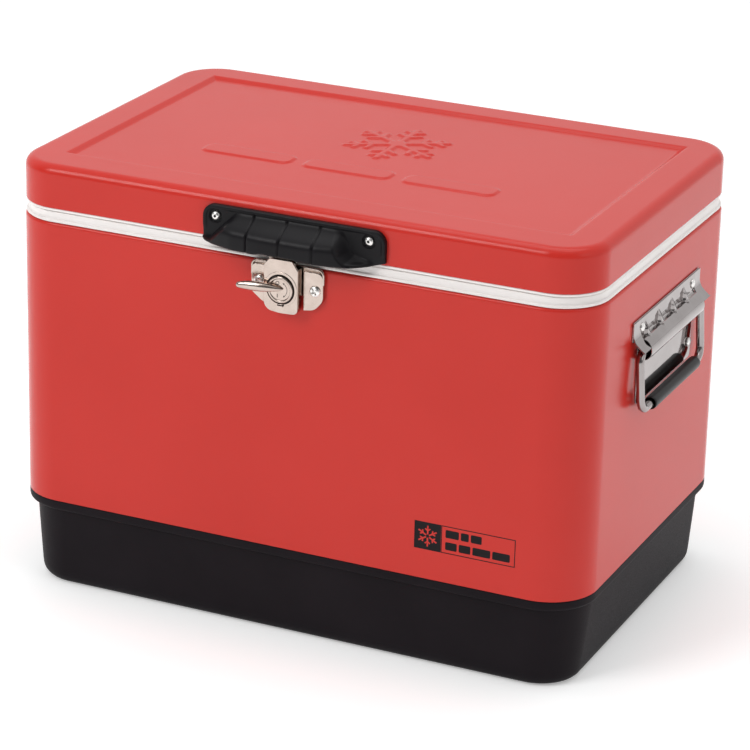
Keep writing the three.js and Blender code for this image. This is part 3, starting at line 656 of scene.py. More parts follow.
# ------------------------------------------------------------------ front handle
def build_front_handle():
    x0, x1, zb0, zt0 = -87.0, 99.0, 392.0, 427.0
    xs = [0, .12, .35, .7, 1.1, 1.6]
    X = np.array([x0 + q for q in xs] + list(np.arange(x0 + 2.2, x1 - 2.0, 0.62)) + [x1 - q for q in xs[::-1]])
    d = np.array([0, .12, .35, .7, 1.1, 1.6, 2.2])
    def ends(x):
        t = zt0 - np.where(x < x0 + 12, 12 - np.sqrt(np.maximum(144 - (x0 + 12 - x) ** 2, 0)), 0) - np.where(x > x1 - 12, 12 - np.sqrt(np.maximum(144 - (x - x1 + 12) ** 2, 0)), 0)
        b = zb0 + 1.6 * smooth((x + 26) / 8) * smooth((22 - x) / 8) + np.where(x < x0 + 5, 3.5 * (1 - np.sqrt(np.maximum(1 - ((x0 + 5 - x) / 5) ** 2, 0))), 0) + 5.0 * np.clip((x - x1 + 17) / 17, 0, 1) ** 1.2
        return b, t
    B, Tp = ends(X)
    nv = 58
    rows = []
    for j in range(nv + 1):
        rows.append(j / nv)
    rows = np.array(rows)
    # finer rows by both borders
    v = np.concatenate([d[:-1] / 35.0, np.linspace(2.2 / 35, 1 - 2.2 / 35, nv - 6), 1 - d[:-1][::-1] / 35.0])
    XX, VV = np.meshgrid(X, v)
    ZZ = B[None, :] + (Tp - B)[None, :] * VV
    # hood profile against the distance below its top line
    s = np.linspace(-12, 40, 1041)
    raw = np.interp(s, [-12, 1.6, 8.4, 13, 30, 40], [0, 0, 20.8, 21.9, 22.3, 22.3])
    k = np.ones(190) / 190
    sm = np.convolve(np.convolve(np.pad(raw, 400, mode="edge"), k, "same"), k, "same")[400:-400]
    H = np.interp(420.6 - ZZ, s, sm)
    # ends of the hood: a crisp diagonal at the left, a soft scoop at the right
    def below(poly, soft):
        px, pz = zip(*poly)
        best = np.full(XX.shape, 1e9); sign = np.ones(XX.shape)
        for (ax, az), (bx, bz) in zip(poly, poly[1:]):
            q = seg_dist(XX, ZZ, ax, az, bx, bz)
            cr = (bx - ax) * (ZZ - az) - (bz - az) * (XX - ax)
            m = q < best - 1e-9
            best = np.where(m, q, best); sign = np.where(m, np.sign(cr), sign)
        return best * sign / soft
    left = below([(-110, 395.0), (-86, 395.2), (-78.6, 396.2), (-54, 420.6), (-40, 434.6)], 6.5)        # positive above / left
    rgt = below([(50, 437), (56.5, 423), (61.5, 411), (64, 404.6), (68, 400.6), (75, 398.8), (84, 398.2), (120, 398.0)], 9.5)
    el, er = np.clip(-left, 0, 1), np.clip(0.12 - rgt, 0, 1)
    ease = (1 - (1 - el) ** 2.2) * smooth(er) ** 0.8
    cx_ = np.linspace(-96, 110, 1031)
    ct = np.interp(cx_, [-96, -87.4, -82.5, -73.8, -62, -50, -20, 10, 36, 52, 67.5, 75, 82.5, 87, 110], [0, 1.2, 6.6, 11.3, 15.6, 19.2, 21.9, 22.0, 21.9, 19.5, 16.0, 11.5, 3.4, 0, 0])
    kk = np.ones(25) / 25
    ct = np.convolve(np.convolve(ct, kk, 'same'), kk, 'same')
    cap = np.interp(XX, cx_, ct)
    hood = cap * np.clip(H / 22.3, 0, 1.0) ** 1.0 * ease
    low = smooth((396.5 - ZZ) / 2.5)
    hood = hood * (1 - low) + np.maximum(hood, np.minimum(cap * 0.93, 60)) * low * 1.0 + 0 * hood
    groove = np.zeros(XX.shape)
    for gx in (-33.2, 0.6, 34.6):
        groove = np.maximum(groove, 1.7 * np.clip(1 - np.abs(XX - gx) / 1.45, 0, 1))
    hood_g = hood - groove * smooth((hood - 0.1) / 1.6)
    flange = 4.3
    # distance to the border for the rounded edge and the raised rim
    bz = np.minimum(Tp[None, :] - ZZ, 99)
    bx = np.minimum(XX - x0, x1 - XX)
    cx = np.where(XX < x0 + 12, x0 + 12, np.where(XX > x1 - 12, x1 - 12, XX)); cz = zt0 - 12
    corner = np.where((np.abs(XX - cx) > 0) & (ZZ > cz), 12 - np.hypot(XX - cx, ZZ - cz), np.minimum(zt0 - ZZ, bx))
    dist = np.clip(corner, 0, None)
    rimh = 1.15 * smooth((4.4 - dist) / 1.3) * smooth((ZZ - 400) / 8)
    out = flange + hood_g + rimh * (1 - smooth(hood / 2))
    for sx, sz in ((-74.0, 416.0), (82.5, 416.0)):
        r = np.hypot(XX - sx, ZZ - sz)
        out = np.where(r < 7.6, np.minimum(out, flange + 0.0 + (r - 6.6) * 3.0), out)
        out = np.where(r < 6.9, np.maximum(np.minimum(out, flange - 1.9 + np.maximum(r - 6.2, 0) * 3.2), flange - 1.9), out)
    db = np.clip(np.minimum(dist, (ZZ - B[None, :])), 0, None)
    edge = 1.5 - np.sqrt(np.clip(1.5 ** 2 - np.clip(1.5 - db, 0, None) ** 2, 0, None))
    out = out - edge
    inn = np.clip(hood - 2.6 + flange * smooth((hood - 3) / 3) * 0.98, 0.35, None)
    inn = np.minimum(inn, out - 1.0)
    inn = np.maximum(inn, 0.3)
    y0 = -195.6
    ny, nx = XX.shape
    V = [(float(XX[j, i]), y0 - float(out[j, i]), float(ZZ[j, i])) for j in range(ny) for i in range(nx)]
    o = len(V)
    V += [(float(XX[j, i]), y0 - float(inn[j, i]), float(ZZ[j, i])) for j in range(ny) for i in range(nx)]
    F = []
    for j in range(ny - 1):
        for i in range(nx - 1):
            a, b, c, q = j * nx + i, j * nx + i + 1, (j + 1) * nx + i + 1, (j + 1) * nx + i
            F.append((a, b, c, q)); F.append((o + q, o + c, o + b, o + a))
    loop = [i for i in range(nx)] + [j * nx + nx - 1 for j in range(1, ny)] + [(ny - 1) * nx + i for i in range(nx - 2, -1, -1)] + [j * nx for j in range(ny - 2, 0, -1)]
    for a, b in zip(loop, loop[1:] + loop[:1]):
        F.append((b, a, o + a, o + b))
    return V, F

make("pull_handle", *build_front_handle(), MAT["black_gloss"], "lid", sharp=48, weighted=False, cad=("front_handle",), slot="black_plastic")
for n, sx in (("left", -74.0), ("right", 82.5)):
    make(f"pull_handle_screw_{n}", *screw_data(front, sx, 416.0, 198.0, 4.5, 3.6, "hex", turn=0.3), MAT["screw"], "lid", sharp=35, cad=(f"handle_screw_{n}",), slot="nickel")

# ------------------------------------------------------------------ latch
KX, DZ = -1.5, 358.7
# keeper: a back plate with rolled upper corners, and two raised ears
def build_keeper():
    parts = []
    parts.append(slab_data(round_poly([(-35.4, 352), (-35.4, 380.8), (38.2, 380.8), (38.2, 352)], [2, 6.5, 6.5, 2]), 197.45, 198.7, front, 0.4))
    for x0, x1, top, s in ((-35.4, -14.0, 377.2, -1), (18.3, 38.2, 377.4, 1)):
        if s < 0:
            o = round_poly([(x0, 349.8), (-24.6, 341.6), (x1, 338.8), (x1, top), (x0, top)], [6, 8, 0.6, 0.6, 4.5])
        else:
            o = round_poly([(x0, 338.9), (29.6, 340.6), (x1, 350.4), (x1, top), (x0, top)], [0.8, 12, 12, 5.5, 1.2], seg=9)
        parts.append(slab_data(o, 198.4, 201.7, front, 0.75, seg=4))
        # rolled edge standing over the ear
        xa, xb = (x0 + 0.2, x1) if s < 0 else (x0, x1 - 0.2)
        edge = xa if s < 0 else xb
        path = [(edge, -200.4, 366.5), (edge, -200.4, 371.0)]
        for k in range(0, 9):
            a = math.pi / 2 * k / 8
            path.append((edge - s * 6.0 * (1 - math.cos(a)), -200.4, 374.6 + 6.0 * math.sin(a)))
        end = xb if s < 0 else xa
        path += [(edge + (end - edge) * 0.7, -200.4, 380.6), (end, -200.4, 380.6)]
        parts.append(sweep_data(path, 1.05, n=12, hint=(0, 1, 0)))
    # hook that the cam turns under
    parts.append(slab_data(round_poly([(-16.2, 352), (-7.8, 352), (-7.8, 367), (-16.2, 367)], 1.5), 202.7, 204.2, front, 0.3))
    parts.append(slab_data([(-16.2, 352), (-14.8, 352), (-14.8, 367), (-16.2, 367)], 198.0, 203.2, front, 0.1))
    return join_data(*parts)

make("keeper_pressing", *build_keeper(), MAT["nickel"], "chest", sharp=38, cad=("keeper_plate",), slot="nickel")
for n, sx, sz, tw in (("left", -27.0, 361.2, 0.2), ("right", 30.3, 359.7, 0.62)):
    make(f"keeper_head_{n}", *screw_data(front, sx, sz, 201.75, 5.4, 3.0, "cross", turn=tw, n=64), MAT["screw"], "chest", sharp=32, cad=(f"keeper_screw_{n}",), slot="nickel")

SX0, SX1 = KX - 17.4, KX + 17.4
def build_strap():
    o = round_poly([(SX0, 337.0), (KX, 335.2), (SX1, 336.0), (SX1, 379.0), (SX1 - 6.0, 387.5), (SX0 + 6.0, 387.5), (SX0, 381.0)], [10.0, 40.0, 5.0, 3.0, 1.6, 1.6, 3.0], seg=9)
    parts = [slab_data(o, 207.7, 209.15, front, 0.55, holes=[circle(KX, DZ, 14.4, 72)], seg=4, r_hole=0.35)]
    parts.append(slab_data(circle(KX, DZ + 0.3, 16.9, 72), 209.05, 209.6, front, 0.3, holes=[circle(KX, DZ, 14.4, 72)]))
    # folded-back skirt round the sides and foot
    n = len(o)
    oo = ccw(list(o))
    side = [p for p in oo if p[1] < 380.5]
    # order the skirt from the left top, round the foot, to the right top
    side.sort(key=lambda p: (math.atan2(p[1] - 384, p[0] - KX) + 2 * math.pi) % (2 * math.pi))
    inner = [tuple(np.array(p) + (np.array((KX, 370)) - np.array(p)) / np.linalg.norm(np.array((KX, 370)) - np.array(p)) * 1.1) for p in side]
    V, F = [], []
    for y in (-201.0, -202.2, -208.2):
        V += [(p[0], y, p[1]) for p in side]
    for y in (-208.2, -202.2, -201.0):
        V += [(p[0], y, p[1]) for p in inner]
    m = len(side)
    for j in range(6):
        for i in range(m - 1):
            F.append((j * m + i, j * m + i + 1, ((j + 1) % 6) * m + i + 1, ((j + 1) % 6) * m + i))
    F.append(tuple(j * m for j in range(6))); F.append(tuple(j * m + m - 1 for j in range(5, -1, -1)))
    parts.append((V, F))
    # knuckles round the pin
    for a, b in ((SX0 + 3.4, SX0 + 7.6), (SX1 - 7.6, SX1 - 3.4)):
        V, F, q = [], [], 32
        prof = [(1.9, a), (2.9, a), (3.15, a + 0.3), (3.15, b - 0.3), (2.9, b), (1.9, b)]
        for r, w in prof:
            V += [(w, -202 + r * math.cos(2 * math.pi * k / q), 386.5 + r * math.sin(2 * math.pi * k / q)) for k in range(q)]
        for j in range(len(prof)):
            for i in range(q):
                F.append((j * q + i, j * q + (i + 1) % q, ((j + 1) % len(prof)) * q + (i + 1) % q, ((j + 1) % len(prof)) * q + i))
        parts.append((V, F))
        parts.append(slab_data([(a, 383.2), (b, 383.2), (b, 385.6), (a, 385.6)], 203.4, 208.0, front, 0.1))
    return join_data(*parts)

def build_dish():
    # dish behind the dial, drawn in the dark etch finish as painted shade in the gap round the dial
    prof = [(4.3, 205.2), (15.4, 205.2), (15.6, 205.6), (15.6, 208.4), (14.45, 208.4), (14.4, 206.9), (13.7, 206.4), (4.3, 206.4), (4.3, 205.2)]
    Vd, Fd, nn = [], [], 72
    for r, w in prof[:-1]:
        Vd += [front(KX + r * math.cos(2 * math.pi * k / nn), DZ + r * math.sin(2 * math.pi * k / nn), w) for k in range(nn)]
    mm = len(prof) - 1
    for j in range(mm):
        for i in range(nn):
            Fd.append((j * nn + i, j * nn + (i + 1) % nn, ((j + 1) % mm) * nn + (i + 1) % nn, ((j + 1) % mm) * nn + i))
    return Vd, Fd

make("hasp_strap", *build_strap(), MAT["nickel"], "latch_strap", sharp=38, cad=("latch_strap",), slot="nickel")

# etched marks; the same dark finish on the dish behind the dial is painted shade
m_etch, nt, b, co = new_mat("etched_mark")
n1 = noise(nt, co, 500.0, 3)
c = ramp(nt, n1.outputs[0], [(0.3, (0.075, 0.065, 0.06)), (0.7, (0.13, 0.115, 0.105))])
nt.links.new(c.outputs[0], b.inputs["Base Color"])
b.inputs["Metallic"].default_value = 0.6
b.inputs["Roughness"].default_value = 0.55
MAT["etch"] = m_etch

# the dish is coloured dark as painted shade in the gap round the dial
make("strap_dish", *build_dish(), MAT["etch"], "latch_strap", sharp=38, slot="nickel")

# black index mark on the strap under the dial
def ribbon(path, width, lo, hi, place):
    P = np.array(path, float)
    T = np.gradient(P, axis=0); T /= np.linalg.norm(T, axis=1)[:, None]
    N_ = np.stack([-T[:, 1], T[:, 0]], 1)
    w = np.asarray(width, float) if hasattr(width, "__len__") else np.full(len(P), width)
    L = P + N_ * w[:, None] / 2; R = P - N_ * w[:, None] / 2
    return slab_data([tuple(p) for p in R] + [tuple(p) for p in L[::-1]], lo, hi, place, 0.02, seg=1)

arc = lambda r, a0, a1, n: [(KX + r * math.cos(math.radians(a0 + (a1 - a0) * k / n)), DZ + r * math.sin(math.radians(a0 + (a1 - a0) * k / n))) for k in range(n + 1)]
idx_mark = join_data(ribbon(arc(15.6, -101, -78, 12), 1.2, 209.5, 209.75, front), slab_data([(0.4, 344.3), (2.9, 344.6), (1.2, 341.6)], 209.5, 209.75, front, 0.02, seg=1))
make("strap_index_mark", *idx_mark, MAT["print"], "latch_strap", slot="nickel")

disc = turned([(0, 203.2), (4.0, 203.2), (4.0, 206.7), (12.2, 206.7), (12.6, 206.9), (12.9, 207.3), (12.9, 210.3), (12.7, 210.8), (12.2, 211.1), (11.5, 211.2), (10.9, 211.1), (10.5, 210.8), (10.2, 210.3), (9.7, 210.2), (0, 210.25)], front, 72, KX, DZ)
make("latch_dial", *disc, MAT["nickel"], "latch_rotor", sharp=40, cad=("latch_disc",), slot="nickel")
marks = [ribbon(arc(7.2, -50, 54, 24), 0.45, 210.1, 210.35, front)]
for a, sg in ((54, 1), (-50, -1)):   # arrow tips
    c0 = arc(7.2, a, a, 1)[0]; t = math.radians(a + 90 * sg)
    tip = (c0[0] + 2.0 * math.cos(t), c0[1] + 2.0 * math.sin(t)); nrm = (-math.sin(t), math.cos(t))
    marks.append(slab_data([tip, (c0[0] + 0.95 * nrm[0], c0[1] + 0.95 * nrm[1]), (c0[0] - 0.95 * nrm[0], c0[1] - 0.95 * nrm[1])], 210.1, 210.35, front, 0.02, seg=1))
marks.append(slab_data(circle(-4.2, 365.0, 1.9, 28), 210.1, 210.35, front, 0.02, holes=[circle(-4.2, 365.0, 1.35, 28)], seg=1))      # ring: open
marks.append(slab_data(round_poly([(-4.6, 350.6), (-3.9, 350.6), (-3.9, 354.4), (-4.6, 354.4)], 0.3), 210.1, 210.35, front, 0.02, seg=1))  # bar: shut
make("latch_dial_marks", *join_data(*marks), MAT["etch"], "latch_rotor", weighted=False, slot="nickel")

ts = [0, .02, .05, .1, .17, .25, .34, .44, .54, .64, .73, .81, .88, .93, .965, .985, .996, 1.0]
wd = [.25, .8, 1.4, 2.1, 2.9, 3.6, 4.15, 4.55, 4.7, 4.65, 4.4, 4.05, 3.6, 3.2, 2.75, 2.1, 1.2, .4]
A, B_ = np.array((1.6, -211.2, 359.6)), np.array((-43.6, -216.9, 359.0))
lev = [A + (B_ - A) * t + np.array((0, -1.0 * math.sin(math.pi * min(t * 1.3, 1)), 0.9 * math.sin(math.pi * t))) for t in ts]
make("latch_thumb_lever", *sweep_data(lev, [(w, w * 0.86) for w in wd], n=32, hint=(0, -1, 0)), MAT["nickel"], "latch_rotor", sharp=60, weighted=False, cad=("latch_lever",), slot="nickel")

br = [slab_data(round_poly([(-15, 385.2), (12, 385.2), (12, 414), (-15, 414)], 1.5), 195.95, 197.4, front, 0.3),
      slab_data([(-9.8, 386.6), (6.8, 386.6), (6.8, 389.4), (-9.8, 389.4)], 196.8, 202.0, front, 0.1)]
V, F, q = [], [], 32
prof = [(1.9, -9.8), (2.9, -9.8), (3.1, -9.5), (3.1, 6.5), (2.9, 6.8), (1.9, 6.8)]
for r, w in prof:
    V += [(w, -202 + r * math.cos(2 * math.pi * k / q), 386.5 + r * math.sin(2 * math.pi * k / q)) for k in range(q)]
for j in range(len(prof)):
    for i in range(q):
        F.append((j * q + i, j * q + (i + 1) % q, ((j + 1) % len(prof)) * q + (i + 1) % q, ((j + 1) % len(prof)) * q + i))
br.append((V, F))
make("latch_bracket_pressing", *join_data(*br), MAT["nickel"], "lid", sharp=38, cad=("latch_bracket",), slot="nickel")
for n, sx in (("left", -9.0), ("right", 6.0)):
    make(f"latch_bracket_stud_{n}", *screw_data(front, sx, 405, 197.5, 3.0, 1.1, "dome", n=32), MAT["screw"], "lid", cad=(f"latch_bracket_rivet_{n}",), slot="stainless")
make("latch_pin_rod", *turned([(0, SX0 + 2.9), (1.4, SX0 + 2.9), (1.6, SX0 + 3.2), (1.6, SX1 - 3.2), (1.4, SX1 - 2.9), (0, SX1 - 2.9)], lambda u, v, w: (w, u, v), 24, -202, 386.5), MAT["steel"], "lid", cad=("latch_pin",), slot="stainless")

# ------------------------------------------------------------------ side handles
def shell_strip(rows_out, rows_in, close_u=False):
    """Closed sheet from matching outer and inner grids of points."""
    ny, nx = len(rows_out), len(rows_out[0])
    V = [p for r in rows_out for p in r] + [p for r in rows_in for p in r]
    o = ny * nx; F = []
    for j in range(ny - 1):
        for i in range(nx - 1):
            a, b, c, q = j * nx + i, j * nx + i + 1, (j + 1) * nx + i + 1, (j + 1) * nx + i
            F.append((a, b, c, q)); F.append((o + q, o + c, o + b, o + a))
    loop = [i for i in range(nx)] + [j * nx + nx - 1 for j in range(1, ny)] + [(ny - 1) * nx + i for i in range(nx - 2, -1, -1)] + [j * nx for j in range(ny - 2, 0, -1)]
    for a, b in zip(loop, loop[1:] + loop[:1]):
        F.append((b, a, o + a, o + b))
    return V, F

def side_handle(S, side, pname, body):
    place = lambda u, v, w: (S * w, 3.0 + u, v)
    parts = []
    # back plate: wide above, narrow below
    o = round_poly([(-75, 252.3), (75, 252.3), (75, 319.0), (-75, 319.0)], [5, 5, 1, 1])
    parts.append(slab_data(o, 300.35, 301.45, place, 0.3))
    o = round_poly([(-91, 318.8), (91, 318.8), (91, 338.4), (-91, 338.4)], [2.5, 2.5, 4, 4])
    parts.append(slab_data(o, 300.32, 301.5, place, 0.3))
    # bent sheet: plate, flare, half-round barrel
    us = [-90.6 + 0.6 * k for k in range(303)]
    def prof(u):
        """profile points (w, v), upper plate down to the end of the sheet, for one position along the handle"""
        full = smooth(np.array([(73.2 - abs(u)) / 0.8]))[0]
        lip = [(301.9, 324.6), (302.7, 321.8), (304.3, 318.9), (306.8, 316.2), (309.2, 314.0), (311.4, 312.3), (313.2, 310.9), (313.6, 310.5)]
        bar = [(301.65, 325.0), (301.7, 322.6), (301.8, 320.6), (302.3, 319.2), (303.6, 318.5), (305.6, 318.1), (308.4, 317.0), (311.0, 314.9), (313.0, 311.9), (314.0, 308.8), (314.2, 306.0),
               (313.7, 303.4), (312.4, 301.0), (310.4, 299.2), (308.0, 298.2), (305.2, 297.8), (302.4, 297.8)]
        return bar if full > 0.5 else lip
    for u0, u1, kind in ((-91, -73.3, "lip"), (-73, 73, "bar"), (73.3, 91, "lip")):
        L = u1 - u0
        uu = [u0, u0 + 0.25] + list(np.linspace(u0 + 0.8, u1 - 0.8, max(int(L / 0.9), 8))) + [u1 - 0.25, u1]
        P = prof(0 if kind == "bar" else 80)
        P = [(301.6, 337.6), (301.6, 334.0), (301.6, 331.0), (301.62, 328.4), (301.7, 326.4)] + P
        # resample smoothly
        A = np.array(P, float)
        for _ in range(2):
            q = [A[0]]
            for a, b in zip(A, A[1:]):
                q += [a * .75 + b * .25, a * .25 + b * .75]
            q.append(A[-1]); A = np.array(q)
        T = np.gradient(A, axis=0); T /= np.linalg.norm(T, axis=1)[:, None]
        N_ = np.stack([-T[:, 1], T[:, 0]], 1)
        if N_[len(N_) // 3][0] < 0:
            N_ = -N_
        ro, ri = [], []
        for u in uu:
            e = min(u - u0, u1 - u)
            ed = 0.3 * (1 - math.sqrt(max(1 - (1 - min(e / 0.3, 1)) ** 2, 0)))
            a_o, a_i = [], []
            for k, (p, n_) in enumerate(zip(A, N_)):
                # triangular pressed gussets bridging the bend
                dart = 0.0
                for dc in ((-63.5, -27, 9, 42) if kind == "bar" else ()):
                    z = p[1]
                    if 315.0 < z < 333.5:
                        crest = 301.6 + (333.5 - z) * (8.2 / 18.5)
                        dart = max(dart, min(crest - abs(u - dc - 1.5) * (0.45 if u > dc + 1.5 else 2.6) - p[0], 3.4))
                dart = max(dart, 0.0)
                s = 0.6 + dart
                q = p + n_ * (0.6 - ed) + np.array((dart, 0.0))
                r = p - n_ * (0.6 - ed) + np.array((dart * 0.9, 0.0))
                a_o.append(place(u, q[1], q[0])); a_i.append(place(u, r[1], max(r[0], 301.2)))
            ro.append(a_o); ri.append(a_i)
        parts.append(shell_strip(ro, ri))
    # points for a back wall of the barrel, joined to the plate under it; they are not used
    A = [(301.2, 302.5), (301.6, 300.2), (302.6, 298.6)]
    V, F = join_data(*parts)
    make(f"{side}_handle_pressing", V, F, MAT["mirror"], "chest", sharp=38, cad=(f"{side}_handle_plate",), slot="stainless")
    k = 1
    for v, us_ in ((328.2, (-69, 69)), (269.0, (-67, 67))):
        for u in us_:
            ob_place = lambda a, b, w, S=S: (S * w, 3.0 + a, b)
            make(f"{side}_handle_rivet_head_{k}", *screw_data(ob_place, u, v, 302.05, 4.6, 2.4, "dome", n=40), MAT["screw"], "chest", cad=(f"{side}_handle_rivet_{k}",), slot="stainless")
            k += 1
    # bail: straight top stubs, long bends, straight bottom bar
    ax, az, bx, bz, hw = 306.5, 305.5, 310.0, 250.0, 83.0
    def corner(p0, c, p1, r, seg=12):
        p0, c, p1 = map(lambda q: np.array(q, float), (p0, c, p1))
        u, v = (p0 - c) / np.linalg.norm(p0 - c), (p1 - c) / np.linalg.norm(p1 - c)
        a = math.acos(u @ v); t = r / math.tan(a / 2)
        ce = c + (u + v) / np.linalg.norm(u + v) * (r / math.sin(a / 2))
        s, e = c + u * t - ce, c + v * t - ce
        om = math.acos(np.clip((s @ e) / (r * r), -1, 1))
        return [tuple(ce + (math.sin((1 - q / seg) * om) * s + math.sin(q / seg * om) * e) / math.sin(om)) for q in range(seg + 1)]
    pts = [(ax, -66, az), (ax, -hw, az), (bx, -hw, bz), (bx, hw, bz), (ax, hw, az), (ax, 66, az)]
    path = [pts[0], (ax, -71, az)] + corner(pts[0], pts[1], pts[2], 8) + [((ax + bx) / 2, -hw, (az + bz) / 2)] + corner(pts[1], pts[2], pts[3], 13)
    path += [(bx, -60 + 12 * q, bz) for q in range(11)]
    path += corner(pts[2], pts[3], pts[4], 13) + [((ax + bx) / 2, hw, (az + bz) / 2)] + corner(pts[3], pts[4], pts[5], 8) + [(ax, 71, az), pts[5]]
    path = [(S * p[0], p[1] + 3.0, p[2]) for p in path]
    rr_ = [(3.3, 3.3)] + [(4.0, 4.0)] * (len(path) - 2) + [(3.3, 3.3)]
    path = [path[0], (path[0][0], path[0][1] - 0.7, path[0][2])] + path[1:-1] + [(path[-1][0], path[-1][1] + 0.7, path[-1][2]), path[-1]]
    rr_ = [rr_[0], (4.0, 4.0)] + rr_[1:-1] + [(4.0, 4.0), rr_[-1]]
    make(f"{side}_bail_rod", *sweep_data(path, rr_, n=28, hint=(S, 0, 0)), MAT["steel"], body, sharp=50, weighted=False, cad=(f"{side}_bail",), slot="stainless")
    # sleeve with soft hollow ends
    ys = [-52, -53.6, -54.3, -54.6, -54.1, -51.8, -38, -20, 0, 20, 44, 66.6, 68.8, 69.2, 68.9, 68.2, 66]
    rs = [4.5, 4.8, 5.4, 5.95, 6.3, 6.48, 6.45, 6.4, 6.4, 6.4, 6.45, 6.48, 6.3, 5.95, 5.4, 4.8, 4.5]
    V, F, n = [], [], 40
    for y, r in zip(ys, rs):
        V += [(S * (310.0 + r * math.cos(2 * math.pi * i / n)), y, 250.0 + r * math.sin(2 * math.pi * i / n)) for i in range(n)]
    m = len(ys)
    for j in range(m):
        for i in range(n):
            F.append((j * n + i, j * n + (i + 1) % n, ((j + 1) % m) * n + (i + 1) % n, ((j + 1) % m) * n + i))
    make(f"{side}_grip_sleeve", V, F, MAT["sleeve"], body, sharp=50, weighted=False, cad=(f"{side}_grip",), slot="grip_rubber")

side_handle(1, "right", "r", "right_bail")
side_handle(-1, "left", "l", "left_bail")

# ------------------------------------------------------------------ rear hinges
def ring_x(a, b, ro, ri, y, z, n=40, e=0.5):
    prof = [(ri, a), (ro - e, a), (ro - 0.15 * e, a + 0.15 * e), (ro, a + e), (ro, b - e), (ro - 0.15 * e, b - 0.15 * e), (ro - e, b), (ri, b)]
    V, F, m = [], [], len(prof)
    for r, w in prof:
        V += [(w, y + r * math.cos(2 * math.pi * k / n), z + r * math.sin(2 * math.pi * k / n)) for k in range(n)]
    for j in range(m):
        for i in range(n):
            F.append((j * n + i, j * n + (i + 1) % n, ((j + 1) % m) * n + (i + 1) % n, ((j + 1) % m) * n + i))
    return V, F

def bent_leaf(xa, xb, path, t):
    """Strip of sheet: path of (y, z) extruded from xa to xb with slightly eased ends."""
    A = np.array(path, float)
    T = np.gradient(A, axis=0); T /= np.linalg.norm(T, axis=1)[:, None]
    N_ = np.stack([-T[:, 1], T[:, 0]], 1)
    ro, ri = [], []
    for x, e in ((xa, 0.25), (xa + 0.25, 0.0), ((xa + xb) / 2, 0.0), (xb - 0.25, 0.0), (xb, 0.25)):
        ro.append([(x, p[0] + n[0] * (t / 2 - e), p[1] + n[1] * (t / 2 - e)) for p, n in zip(A, N_)])
        ri.append([(x, p[0] - n[0] * (t / 2 - e), p[1] - n[1] * (t / 2 - e)) for p, n in zip(A, N_)])
    return shell_strip(ro, ri)

for side, hx in (("left", -170.0), ("right", 170.0)):
    o = round_poly([(hx - 35, 350), (hx + 35, 350), (hx + 35, 385.5), (hx - 35, 385.5)], [6, 6, 1, 1])
    parts = [slab_data(o, 197.45, 199.2, rear, 0.5, holes=[])]
    for a, b in ((hx - 35, hx - 12.1), (hx + 12.1, hx + 35)):
        parts.append(ring_x(a, b, 5.0, 2.55, 203.0, 390.5))
        parts.append(bent_leaf(a + 0.1, b - 0.1, [(198.9, 381.0), (199.1, 383.4), (200.0, 385.0), (201.3, 386.0), (203.0, 386.4)], 1.4))
    make(f"{side}_hinge_body_wing", *join_data(*parts), MAT["steel_satin"], "chest", sharp=36, cad=(f"{side}_hinge_body_leaf",), slot="stainless")
    o = round_poly([(hx - 35, 397.6), (hx + 35, 397.6), (hx + 35, 426), (hx - 35, 426)], [1, 1, 6, 6])
    parts = [slab_data(o, 195.95, 197.7, rear, 0.5), ring_x(hx - 11.6, hx + 11.6, 5.0, 2.55, 203.0, 390.5),
             bent_leaf(hx - 11.4, hx + 11.4, [(197.0, 400.5), (197.2, 398.2), (198.2, 396.4), (200.0, 395.2), (202.4, 394.8)], 1.4)]
    make(f"{side}_hinge_lid_wing", *join_data(*parts), MAT["steel_satin"], "lid", sharp=36, cad=(f"{side}_hinge_lid_leaf",), slot="stainless")
    make(f"{side}_hinge_rod", *turned([(0, hx - 35.9), (2.1, hx - 35.9), (2.5, hx - 35.5), (2.5, hx + 35.5), (2.1, hx + 35.9), (0, hx + 35.9)], lambda u, v, w: (w, u, v), 32, 203.0, 390.5), MAT["steel"], "chest", cad=(f"{side}_hinge_pin",), slot="stainless")
    for tag, dx in (("a", -22.0), ("b", 22.0)):
        make(f"{side}_hinge_body_screw_head_{tag}", *screw_data(rear, hx + dx, 366.0, 199.3, 4.1, 2.4, "cross", turn=0.4 + dx, n=64), MAT["screw"], "chest", sharp=32, cad=(f"{side}_hinge_body_screw_{tag}",), slot="stainless")
        make(f"{side}_hinge_lid_screw_head_{tag}", *screw_data(rear, hx + dx, 412.0, 197.8, 4.1, 2.4, "cross", turn=1.1 + dx, n=64), MAT["screw"], "lid", sharp=32, cad=(f"{side}_hinge_lid_screw_{tag}",), slot="stainless")

# ------------------------------------------------------------------ drain
out_l = lambda u, v, w: (-w, u, v)
DZ0 = 66.0
V, F, n = [], [], 48
prof = [(6.8, 297.75), (12.4, 297.75), (12.8, 297.6), (13.0, 297.2), (13.0, 294.75), (8.0, 294.75), (8.0, 247.4), (7.6, 247.0), (7.0, 247.0), (6.8, 247.3)]
for r, w in prof:
    V += [out_l(r * math.cos(2 * math.pi * k / n), DZ0 + r * math.sin(2 * math.pi * k / n), w) for k in range(n)]
for j in range(len(prof)):
    for i in range(n):
        F.append((j * n + i, j * n + (i + 1) % n, ((j + 1) % len(prof)) * n + (i + 1) % n, ((j + 1) % len(prof)) * n + i))
lug = slab_data(round_poly([(-6, 72), (6, 72), (6, 79), (-6, 79)], [0, 0, 2, 2]), 294.8, 297.7, out_l, 0.3)
make("drain_tube", *join_data((V, F), lug), MAT["black"], "chest", sharp=40, cad=("drain_spout",), slot="black_plastic")
# hexagonal nut inside the wall
hexo = [(12.3 * math.cos(math.radians(60 * k)), DZ0 + 12.3 * math.sin(math.radians(60 * k))) for k in range(6)]
make("drain_ring_nut", *slab_data(round_poly(hexo, 1.2), 249.65, 253.3, lambda u, v, w: (-(502.95 - w), u, v), 0.6, holes=[circle(0, DZ0, 8.3, 40)]), MAT["black"], "chest", sharp=38, cad=("drain_nut",), slot="black_plastic")
